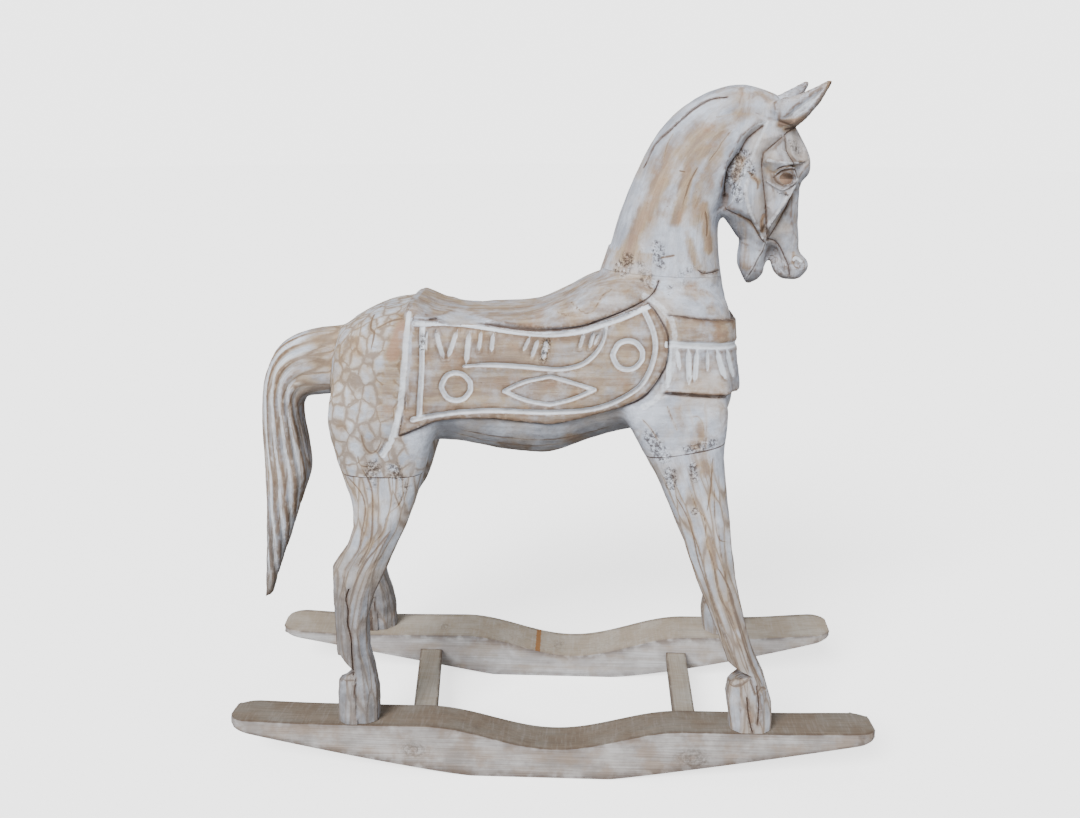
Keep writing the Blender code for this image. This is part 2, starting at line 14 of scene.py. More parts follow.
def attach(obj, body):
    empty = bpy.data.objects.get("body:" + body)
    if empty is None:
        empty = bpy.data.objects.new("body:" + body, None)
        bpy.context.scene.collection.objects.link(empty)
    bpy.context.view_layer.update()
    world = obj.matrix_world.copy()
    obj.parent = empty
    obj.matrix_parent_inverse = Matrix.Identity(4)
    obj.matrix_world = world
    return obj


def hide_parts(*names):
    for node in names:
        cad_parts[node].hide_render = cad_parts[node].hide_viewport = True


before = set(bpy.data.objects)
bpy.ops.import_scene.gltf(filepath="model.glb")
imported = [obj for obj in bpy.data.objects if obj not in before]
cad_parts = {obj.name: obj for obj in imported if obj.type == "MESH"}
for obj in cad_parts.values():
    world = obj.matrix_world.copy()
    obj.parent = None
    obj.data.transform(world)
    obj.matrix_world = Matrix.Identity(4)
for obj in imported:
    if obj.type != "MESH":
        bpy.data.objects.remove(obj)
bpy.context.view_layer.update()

print("frame loaded")


def metres(*millimetres):
    # a table given in millimetres
    return tuple(metres(*item) if isinstance(item, tuple) else item / 1000 for item in millimetres)


def drawn(*marks):
    # marks given as points and half width in millimetres, and strength
    return tuple((metres(*points), half / 1000, strength) for points, half, strength in marks)


# The horse's masses. Each row is one cross-section: (x, z) at its back or low end, (x, z) at its front or
# high end, and half its width. Squareness is for the lower and the upper half; 2 is an ellipse.
torso = {
    "squareness": (2.3, 3.6),
    "rows": metres(
        ((-252, 388), (-250, 472), 44), ((-244, 356), (-240, 505), 66), ((-222, 350), (-222, 519), 80),
        ((-190, 360), (-190, 533.5), 88), ((-155, 373), (-155, 537), 89), ((-110, 375), (-110, 526), 85),
        ((-50, 364), (-50, 518), 82), ((0, 362), (0, 522), 82), ((45, 379), (45, 545), 82),
        ((90, 391), (90, 560), 80), ((135, 394), (130, 565), 75), ((175, 392), (165, 562), 66),
        ((195, 400), (188, 552), 54), ((206, 422), (199, 530), 38),
    ),
}
seat = {
    "squareness": (3.8, 3.5),
    "rows": metres(
        ((-156.5, 480), (-159, 544), 84), ((-151, 470), (-153.5, 544.7), 85.5),
        ((-139, 462), (-143, 540.5), 85.5), ((-110, 455), (-110, 528.8), 85),
        ((-70, 455), (-70, 527.5), 84.5), ((-20, 455), (-20, 531.2), 83.5), ((15, 458), (15, 545.2), 83),
        ((45, 466), (45, 562), 81), ((80, 484), (80, 573), 75), ((110, 510), (110, 570), 64),
    ),
}
neck = {
    "squareness": (2.3, 2.3),
    "rows": metres(
        ((35, 500), (200, 490), 56), ((47, 545), (196, 535), 52), ((57.5, 578), (189, 568), 48),
        ((66.4, 610), (184, 602), 44), ((75.7, 642), (183.2, 631), 41), ((90.7, 680), (190.8, 655), 38),
        ((111.9, 721.5), (206, 673), 35), ((139, 749), (220, 690), 32), ((171, 767), (236, 700), 29),
        ((205, 772), (246, 710), 26), ((238, 762), (256, 715), 21),
    ),
}
skull = {
    "squareness": (2.6, 2.6),
    "rows": metres(
        ((224, 752), (247, 750), 18), ((214, 735), (258, 732), 29), ((200, 708), (265, 708), 35),
        ((191, 682), (268, 682), 37), ((186, 660), (268, 658), 36), ((183, 643), (269, 638), 33),
        ((194, 626), (270, 622), 28), ((204, 612), (271, 607), 24),
    ),
}
upperJaw = {
    "squareness": (2.6, 2.6),
    "rows": metres(
        ((215, 628), (270, 624), 26), ((232, 609), (272, 606), 23), ((240.5, 596), (274, 595), 21),
        ((244.5, 582), (282.5, 587), 22), ((247.5, 573), (285, 578), 20), ((256, 564.5), (276, 566), 15),
    ),
}
lowerJaw = {
    "squareness": (2.6, 2.6),
    "rows": metres(
        ((199, 626), (245, 624), 24), ((207.2, 611), (238, 608), 21), ((208, 598), (236, 598), 18),
        ((207.8, 584), (236.5, 584), 17), ((211, 572), (234, 573), 14), ((217.5, 559), (222.5, 560), 7),
    ),
}
forelock = {
    "squareness": (3.2, 3.2),
    "rows": metres(
        ((244, 738), (257, 733), 12), ((248, 716), (269, 714), 17), ((250, 697), (277, 697), 20),
        ((250, 683), (278, 681), 20), ((248, 675), (272, 674), 17),
    ),
}
ear = {
    "squareness": (2.0, 2.0),
    "fromMiddle": 0.027,
    "leftBack": 0.012,         # the left ear is set further back
    "rows": metres(
        ((236, 730), (228, 754), 9), ((249, 726), (242, 759), 10), ((260.5, 732.5), (252, 761), 10),
        ((270.5, 743), (262, 765), 9), ((281.5, 758), (274, 770.5), 8), ((290.5, 774.5), (287, 777.5), 6),
    ),
}
tail = {
    "squareness": (2.6, 2.6),
    "flute": 0.0122,           # width of one flute, counted from the rear edge
    "fluteDepth": 0.0024,
    "flutesFrom": -0.276,      # they fade in behind this
    "rows": metres(
        ((-225, 440), (-228, 508), 24), ((-250, 427), (-248, 506), 25), ((-276, 423), (-276, 502), 26),
        ((-288, 421), (-305, 492), 27), ((-294, 414), (-325, 474), 28), ((-297, 403), (-337, 447), 28),
        ((-296, 385), (-343, 415), 28), ((-292, 358), (-346, 372), 27), ((-292, 325), (-347, 325), 25),
        ((-304, 292), (-349, 288), 21), ((-319, 250), (-352, 243), 16), ((-334, 210), (-356, 203), 11),
        ((-351, 160), (-361, 156), 6),
    ),
}
hindLeg = {
    "squareness": (2.8, 2.8),
    "faceted": 0.9,            # how far the section turns into a chamfered square
    "setBack": 0.018,          # how much further back the left leg stands
    "rows": metres(
        ((-240, 470), (-135, 470), 14), ((-250, 420), (-126.2, 420), 30),
        ((-243.5, 382), (-134.5, 380), 30), ((-233.5, 350), (-143.2, 350), 28),
        ((-224.5, 322), (-152, 322), 25), ((-223, 292), (-163, 292), 22), ((-231, 268), (-175, 268), 20),
        ((-247.5, 245), (-186, 242), 18), ((-248, 215), (-201, 212), 17), ((-247, 180), (-210, 180), 16.5),
        ((-246, 145), (-209, 145), 17), ((-243, 120), (-203, 120), 19), ((-245, 95), (-199, 95), 21),
        ((-245, 40), (-199, 40), 21),
    ),
    # notch above the heel, downwards, and the top of the heel block on the outer side, as (x, z)
    "notch": metres((-240.5, 143), (-222.5, 123.8), (-232, 120.5), (-239.5, 113.3)),
    "blockTop": metres((-245, 112), (-222.5, 114.5), (-220.5, 50)),
}
foreLeg = {
    "squareness": (2.8, 2.8),
    "faceted": 0.9,
    "setBack": 0.006,
    "rows": metres(
        ((90, 476), (186, 476), 6), ((80, 430), (197, 430), 24), ((98.5, 390), (193.5, 388), 30),
        ((117.8, 356), (196, 354), 27), ((136, 317), (201, 315), 24), ((151.8, 280), (205, 278), 21.5),
        ((165, 243), (210.8, 240), 19.5), ((179.3, 208), (218.5, 205), 17.5),
        ((191, 180), (226.5, 178), 17), ((202, 152), (236, 150), 17), ((210, 125), (249, 122), 19),
        ((206.5, 98), (257, 95), 21), ((211, 70), (258, 68), 21), ((211, 40), (258, 40), 21),
    ),
    "notch": metres((204, 148), (216, 138.5), (233, 130.5), (215, 126.2), (202.5, 117)),
    "blockTop": metres((202.2, 118.5), (213.7, 116), (226.6, 124), (229.9, 126), (236.6, 107.4),
                       (251.2, 107.7)),
}
stance = {
    "footY": 0.1085,           # a hoof's middle, on the board
    "footZ": 0.062,
    "splay": 0.122,            # sideways step outwards for each metre down
    "facetsBelow": 0.33,       # legs are cut in flats below this height
    "setBackBelow": 0.3,
    "setBackOver": 0.12,
}
skin = {
    "voxel": 0.0034,           # how finely the masses are fused
    "ringSegments": 64,
    "ringsPerSpan": 7,
    "rounds": 4,               # smoothing of the trunk and neck
    "crispRounds": 2,          # and of the legs and head
    "joinRounds": 9,           # more where legs, neck and tail grow out of the torso
    "legsBelow": 0.34,
    "headFrom": (0.2, 0.55),   # x and z
    "joins": (0.375, 0.6, 0.03),         # lowest, highest, and how far from the middle
    "seatKept": (-0.165, 0.06, 0.517),   # rear, front and lowest place
    "sharpAngle": 55.0,        # degrees; bends sharper than this are shaded as edges
}
# Joints between the blocks: a point on the cut, and the side that the outer block lies on.
joints = {
    "gap": 0.0003,
    "neck": (Vector((0.12, 0.0, 0.5735)), Vector((0.055, 0.0, 1.0))),
    "tail": (Vector((-0.252, 0.0, 0.463)), Vector((-1.0, 0.0, 0.22))),
    "hind": (Vector((-0.19, 0.0, 0.356)), Vector((0.0, 0.0, -1.0))),
    "fore": (Vector((0.155, 0.0, 0.389)), Vector((0.176, 0.0, -1.0))),
    "muzzleBack": 0.2005,      # the muzzle hangs past the neck joint and isn't cut by it
    "muzzleLow": 0.545,
}


def limit(value):
    return np.clip(value, 0.0, 1.0)


def smoothStep(value):
    value = limit(value)
    return value * value * (3.0 - 2.0 * value)


def between(values, place):
    # Catmull-Rom value at a place counted in rows
    index = min(int(place), len(values) - 2)
    t = place - index
    p1, p2 = values[index], values[index + 1]
    p0 = values[max(index - 1, 0)]
    p3 = values[min(index + 2, len(values) - 1)]
    slope1 = (p2 - p0) * 0.5
    slope2 = (p3 - p1) * 0.5
    return ((2 * t**3 - 3 * t**2 + 1) * p1 + (t**3 - 2 * t**2 + t) * slope1
            + (-2 * t**3 + 3 * t**2) * p2 + (t**3 - t**2) * slope2)


def formTable(form):
    return np.array([(*low, *high, half) for low, high, half in form["rows"]])


def legMiddle(side, z):
    return side * (stance["footY"] - stance["splay"] * (z - stance["footZ"]))


def legSetBack(form, side, z):
    # the left legs stand further back towards the foot
    return form["setBack"] * smoothStep((stance["setBackBelow"] - z) / stance["setBackOver"]) * (side > 0)


def loftForm(bm, form, side=0):
    # skin one closed mass over rings that follow its rows; side is -1 or 1 for legs and ears
    table = formTable(form)
    steps = (len(table) - 1) * skin["ringsPerSpan"]
    rings = []
    for step in range(steps + 1):
        lowX, lowZ, highX, highZ, half = between(table, step / skin["ringsPerSpan"])
        ring = bmesh.ops.create_circle(bm, segments=skin["ringSegments"], radius=1.0)["verts"]
        for vert in ring:
            across, along = vert.co.x, vert.co.y
            power = 2 / form["squareness"][along > 0.0]
            across = math.copysign(abs(across) ** power, across)
            along = math.copysign(abs(along) ** power, along)
            if "faceted" in form:
                share = form["faceted"] * float(smoothStep((stance["facetsBelow"] - lowZ) / 0.06))
                flatX, flatY = vert.co.x, vert.co.y
                reach = 1.0 / max(abs(flatX), abs(flatY), (abs(flatX) + abs(flatY)) / 1.5)
                across += share * (flatX * reach - across)
                along += share * (flatY * reach - along)
            z = (lowZ + highZ) / 2 + along * (highZ - lowZ) / 2
            x = (lowX + highX) / 2 + along * (highX - lowX) / 2
            y = across * half
            if "setBack" in form:
                x -= float(legSetBack(form, side, z))
                y += legMiddle(side, z)
            elif side:
                y += side * form["fromMiddle"]
                x -= form["leftBack"] * (side > 0)
            vert.co = (x, y, z)
        edges = list({edge for vert in ring for edge in vert.link_edges})
        if rings:
            bmesh.ops.bridge_loops(bm, edges=rings[-1] + edges)
        rings.append(edges)
    bmesh.ops.holes_fill(bm, edges=rings[0] + rings[-1])


def bakeModifiers(thing):
    depsgraph = bpy.context.evaluated_depsgraph_get()
    mesh = bpy.data.meshes.new_from_object(thing.evaluated_get(depsgraph))
    thing.modifiers.clear()
    thing.data = mesh


def easeOut(bm, verts, rounds):
    for _ in range(rounds):
        bmesh.ops.smooth_vert(bm, verts=verts, factor=0.5, use_axis_x=True, use_axis_y=True, use_axis_z=True)


def refine(bm, wanted):
    # quarter the wanted faces
    chosen = wanted(np.array([face.calc_center_median() for face in bm.faces]))
    for edge in bm.edges:
        edge.tag = False
    for face, take in zip(bm.faces, chosen):
        for edge in face.edges:
            edge.tag |= bool(take)
    edges = [edge for edge in bm.edges if edge.tag]
    bmesh.ops.subdivide_edges(bm, edges=edges, cuts=1, use_grid_fill=True)


def needsDetail(places):
    # the head, tail, lower legs and chest strap, and wherever a tool or a brush went
    x, y, z = places[:, 0], np.abs(places[:, 1]), places[:, 2]
    wanted = ((x > 0.178) & (z > 0.552)) | (x < -0.246) | ((z < 0.335) & (z > 0.056))
    wanted |= (x > 0.118) & (z > 0.444) & (z < 0.546)
    return wanted | ((y > 0.012) & closeTo(places, 0.01, 0.003))


def needsFinest(places):
    # eyes, nostrils, lips and ears, and the finest lines on the right side
    x, y, z = places[:, 0], np.abs(places[:, 1]), places[:, 2]
    wanted = (y > 0.012) & (np.hypot(x - 0.2485, z - 0.6765) < 0.019)
    wanted |= ((x > 0.24) & (z < 0.6) & (z > 0.5)) | ((y > 0.02) & (x > 0.236) & (z > 0.726))
    wanted |= (x < -0.3) & (z < 0.24)
    return wanted | ((places[:, 1] < -0.012) & closeTo(places, 0.0015, 0.001))


def makeSkin():
    bm = bmesh.new()
    for form in (torso, seat, neck, skull, upperJaw, lowerJaw, forelock, tail):
        loftForm(bm, form)
    for side in (-1, 1):
        for form in (ear, hindLeg, foreLeg):
            loftForm(bm, form, side)
    bmesh.ops.recalc_face_normals(bm, faces=bm.faces)
    mesh = bpy.data.meshes.new("horseSkin")
    bm.to_mesh(mesh)
    bm.free()
    horse = bpy.data.objects.new("horseSkin", mesh)
    bpy.context.scene.collection.objects.link(horse)
    remesh = horse.modifiers.new("Fuse", "REMESH")
    remesh.mode = "VOXEL"
    remesh.voxel_size = skin["voxel"]
    bakeModifiers(horse)
    print("masses fused,", len(horse.data.polygons), "faces")

    bm = bmesh.new()
    bm.from_mesh(horse.data)
    easeOut(bm, bm.verts, skin["crispRounds"])
    (headX, headZ), (low, high, aside) = skin["headFrom"], skin["joins"]
    rear, front, under = skin["seatKept"]
    trunk = [v for v in bm.verts if v.co.z > skin["legsBelow"] and not (v.co.x > headX and v.co.z > headZ)]
    easeOut(bm, trunk, skin["rounds"] - skin["crispRounds"])
    joins = [v for v in bm.verts if low < v.co.z < high and v.co.x < joints["muzzleBack"]
             and (abs(v.co.y) > aside or v.co.z > headZ)
             and not (rear < v.co.x < front and v.co.z > under)]
    easeOut(bm, joins, skin["joinRounds"])
    refine(bm, needsDetail)
    refine(bm, needsFinest)
    easeOut(bm, bm.verts, 1)
    bm.to_mesh(horse.data)
    bm.free()
    print("skin eased and refined,", len(horse.data.polygons), "faces")
    return horse


# What is stored over the surface, each from 0 to 1: thick white paint with painted highlights on the face's
# ridges, dark worn lines and painted shadow lines, wood rubbed bare, brown veins, crumbled filler, ridges
# that sanding has caught with painted shade along the grooves' rims, how much the wash is veined, and dirt
# with painted shade.
markNames = ("whitePaintAndHighlight", "darkLine", "bareWood", "brownVein", "chippedFiller", "wornRidgeAndRimShade", "dappled",
             "grime")

blanket = {
    "rear": metres((-147, 522), (-149.5, 500), (-152, 478), (-158, 435), (-164, 405)),
    "lower": metres((-164, 405), (-120, 419), (-74, 422), (-37, 419), (0, 416), (26, 421), (52, 428),
                    (79, 436), (104, 450), (122, 480), (124, 512), (115, 533), (104, 547)),
    "upper": metres((104, 547), (77, 533), (51, 525), (20, 517), (0, 514), (-37, 517), (-78, 521),
                    (-147, 522)),
    "rise": 0.0046,
    "topBorder": metres((-146, 526.5), (-110, 522.6), (-78, 520.1), (-37, 516.1), (-1, 515.5), (31, 519.5),
                        (51, 525.5), (77, 533.5), (105, 544)),
    "rearBorder": metres((-137.5, 521), (-138.5, 478), (-143.5, 424)),
    "lowerBorder": metres((-150, 421), (-106, 428.5), (-66, 431), (-26, 430), (5, 430), (39, 432.5),
                          (68, 441), (94, 457), (106, 475), (112, 499), (109, 520), (98, 542)),
    "scroll": metres((-93, 481), (-65, 483), (-26, 481), (8, 478.5), (31, 482.5), (46, 493), (56, 508),
                     (59, 523)),
    "roundels": metres(((-102, 458), 15.5), ((83, 494), 15.5)),
    "diamond": metres((-50, 453), (-28, 463.5), (0, 470), (25, 463), (48, 456), (24, 445), (0, 438.5),
                      (-26, 443), (-50, 453)),
    # short gouges between the top border and the scroll: start, end, half width
    "gouges": metres(((-124, 520), (-114.5, 489), 2.8), ((-99, 520), (-110, 490), 2.8),
                     ((-86.5, 519), (-90.5, 484), 3.2), ((-74, 518), (-76.5, 498), 2.4),
                     ((-61, 516), (-63, 497), 2.6), ((-21, 513), (-29, 498), 2.2),
                     ((-12, 512), (-20, 491), 2.6), ((-3, 512), (-8, 489), 3), ((36, 519), (31, 501), 2.4),
                     ((46.5, 520), (41.5, 501), 2.4), ((52.5, 519), (46.5, 504), 1.8),
                     ((-132.5, 519), (-133.5, 496), 1.6)),
    "half": 0.0026, "depth": 0.003,
    "scrollHalf": 0.0024, "diamondHalf": 0.0021, "ornamentDepth": 0.0026, "gougeDepth": 0.0024,
    # hollow painted band that sets the blanket off from the rump, and from the chest: half width and depth
    "rearHollow": (0.0044, 0.002), "frontHollow": (0.0046, 0.0016),
    "rearCove": metres((-153.5, 535), (-156, 500), (-159, 470), (-164, 432), (-172, 402), (-183, 382)),
    "frontCove": metres((100, 556), (116, 546), (129, 528), (132.5, 503), (129, 472), (117, 447),
                        (101, 436)),
}
saddleEdge = {
    "line": metres((-147, 531), (-131, 528.8), (-110, 527.1), (-78, 524.4), (-37, 520.6), (-1, 520.2),
                   (31, 524.3), (51, 530.5), (77, 540), (100, 550.5), (112, 560), (116, 569)),
    "half": 0.0011,
    "rise": 0.0024,
    "cantle": metres((-134.5, 533), (-135.5, 558)),
    "veins": metres(((-75, 542), (-70, 533), (-49, 530), (-22, 529)),
                    ((6, 543), (20, 546), (36, 538), (46, 541), (56, 555), (69, 562)),
                    ((-1, 543), (9, 535), (22, 534))),
}
strap = {
    "rear": 0.122,
    # height at its rear end, and how fast that drops towards the chest
    "low": (0.451, -0.07), "high": (0.536, -0.15), "line": (0.506, -0.1),
    "rise": 0.0055,
    "depth": 0.0016,
    "gouges": metres(((127, 504), (127.5, 458), 3), ((135, 499), (139, 478), 2.2),
                     ((147, 499), (150, 460), 2.8), ((156.5, 498), (156, 462), 2.6),
                     ((167.5, 496), (169, 474), 1.8), ((178, 496), (187, 464), 2.6),
                     ((189, 495), (196, 464), 2.4)),
    # the same round the front, as (y, z)
    "frontGouges": metres(((-36, 494), (-33, 468), 2.6), ((-22, 493), (-21, 465), 2.4),
                          ((-4, 493), (-2, 468), 2.6), ((12, 493), (13, 465), 2.4),
                          ((28, 493), (31, 469), 2.6)),
}
# marks that only colour the wood: points, half width and strength
bodyMarks = {
    "bareWood": drawn(
        (((-160, 521), (-165, 508), (-170, 492)), 11, 1.0),
        (((-170, 490), (-175, 460), (-178, 428)), 13, 0.72),
        (((-236, 492), (-226, 498), (-214, 500)), 14, 0.55), (((-233, 412), (-226, 395)), 9, 0.55),
        (((143, 527), (182, 518), (200, 516)), 10, 0.8), (((150, 560), (168, 550), (172, 542)), 8, 0.65),
        (((182, 466), (180, 453)), 6, 0.6), (((157, 398), (168, 384)), 7, 0.6),
        (((20, 394), (34, 386)), 10, 0.85), (((-52, 385), (-30, 378)), 8, 0.6),
        (((138, 436), (142, 420)), 6, 0.55), (((163, 420), (165, 402)), 5, 0.6),
    ),
    "brownVein": drawn(
        (((-159, 541), (-181, 538), (-195, 531), (-196, 518), (-191, 513), (-194, 497)), 1.2, 1.0),
        (((-159, 529), (-175, 525), (-189, 518)), 1.2, 0.9), (((-213, 520), (-212, 502)), 1.4, 0.7),
        (((-206, 405), (-203, 392), (-196, 384), (-189, 388), (-184, 398)), 1.3, 1.0),
        (((-211, 381), (-208, 370), (-197, 369)), 1.3, 0.9),
        (((127, 439), (130, 431), (135, 420), (139, 412)), 1.6, 0.8),
        (((168, 442), (170, 412), (169, 392)), 1.6, 0.7), (((149, 440), (156, 416), (158, 401)), 2.2, 0.6),
        (((152, 426), (160, 428), (166, 420), (167, 406)), 1.2, 0.7),
        (((100, 424), (110, 414), (118, 402)), 1.2, 0.8),
        (((-100, 404), (-60, 396), (-20, 393), (30, 396), (70, 408)), 1, 0.8),
        (((-110, 400), (-70, 388), (-30, 383), (14, 386)), 1, 0.8),
        (((-80, 382), (-40, 374), (10, 373), (40, 380)), 1.2, 0.9),
    ),
    "chippedFiller": drawn(
        (((-194, 368), (-198, 360)), 8, 0.9), (((-172, 366), (-166, 352)), 8, 0.8),
        (((110, 405), (124, 385)), 8, 0.9), (((150, 394), (178, 400)), 5, 0.9),
        (((76, 580), (82, 590)), 9, 0.8), (((98, 584), (106, 566)), 8, 0.6),
        (((-3, 508), (-7, 490)), 5, 0.9), (((-137, 512), (-138, 500)), 3, 0.9),
        (((130, 560), (145, 574)), 9, 0.5),
    ),
}
legMarks = {
    "brownVein": drawn(
        (((-225, 355), (-209, 337), (-205, 316), (-211, 288), (-213, 269)), 1.4, 0.9),
        (((-208, 369), (-197, 344), (-197, 311), (-201, 278), (-216, 250)), 1.4, 1.0),
        (((-158, 354), (-166, 326), (-180, 312), (-187, 290), (-202, 274)), 1.3, 0.8),
        (((-178, 293), (-192, 274), (-207, 255), (-219, 230), (-227, 201)), 1.3, 1.0),
        (((-235, 240), (-231, 221), (-229, 201)), 1, 0.9),
        (((153, 350), (163, 326), (172, 314), (175, 288), (184, 260), (192, 224), (204, 203), (211, 185)),
         1.6, 0.9),
        (((178, 384), (177, 350), (174, 323)), 1.4, 0.9),
        (((181, 350), (183, 315), (188, 292), (197, 286)), 1.3, 0.8),
        (((138, 341), (155, 310), (167, 265), (181, 226), (196, 175), (204, 147)), 1, 0.9),
        (((187, 260), (201, 236), (208, 215), (223, 164), (245, 117)), 1.1, 1.0),
        (((202.2, 117.5), (208, 115.8), (213.7, 114.8), (226.6, 123.5)), 1, 1.0),
        (((229.9, 126.5), (236.6, 109.4), (244, 114), (251.2, 109.7)), 0.9, 0.9),
        (((178.6, 230.1), (191.2, 196), (203.9, 161.5), (209.4, 145.8)), 0.8, 0.8),
        (((191.7, 230.4), (204.3, 196.2), (218.7, 161.8), (229.8, 130.5)), 0.8, 0.9),
        (((201.5, 230.5), (214.2, 196.4), (225.2, 165.4), (238.2, 127.1)), 0.8, 0.9),
        (((-240, 112), (-222.5, 114)), 0.8, 0.9),
    ),
    "bareWood": drawn(
        (((160, 383), (170, 370)), 9, 0.75), (((178, 290), (186, 258)), 4, 0.8),
        (((202, 215), (211, 187)), 4, 0.8), (((-204, 320), (-205, 290)), 5, 0.6),
        (((-200, 280), (-214, 252)), 5, 0.6), (((231, 86), (233, 78)), 3, 0.9),
    ),
    "chippedFiller": drawn(
        (((131, 367), (134, 352)), 6, 1.0), (((157, 374), (159, 360)), 5, 1.0),
        (((-160, 345), (-168, 330)), 7, 0.52), (((161, 324), (160, 320)), 3, 1.0),
        (((-194, 350), (-198, 344)), 6, 0.52),
    ),
    # cracks: points, half width, depth
    "cracks": metres(
        (((-227.5, 222), (-231, 210), (-229, 196), (-230, 180), (-226.5, 163), (-226, 140), (-225, 119)),
         0.6, 2),
        (((227, 105), (228.5, 92), (231, 78), (235, 63)), 0.5, 1.6),
        (((238, 117), (241, 94), (240, 73)), 0.5, 1.6), (((-223, 108), (-224, 94)), 0.3, 0.6),
    ),
}
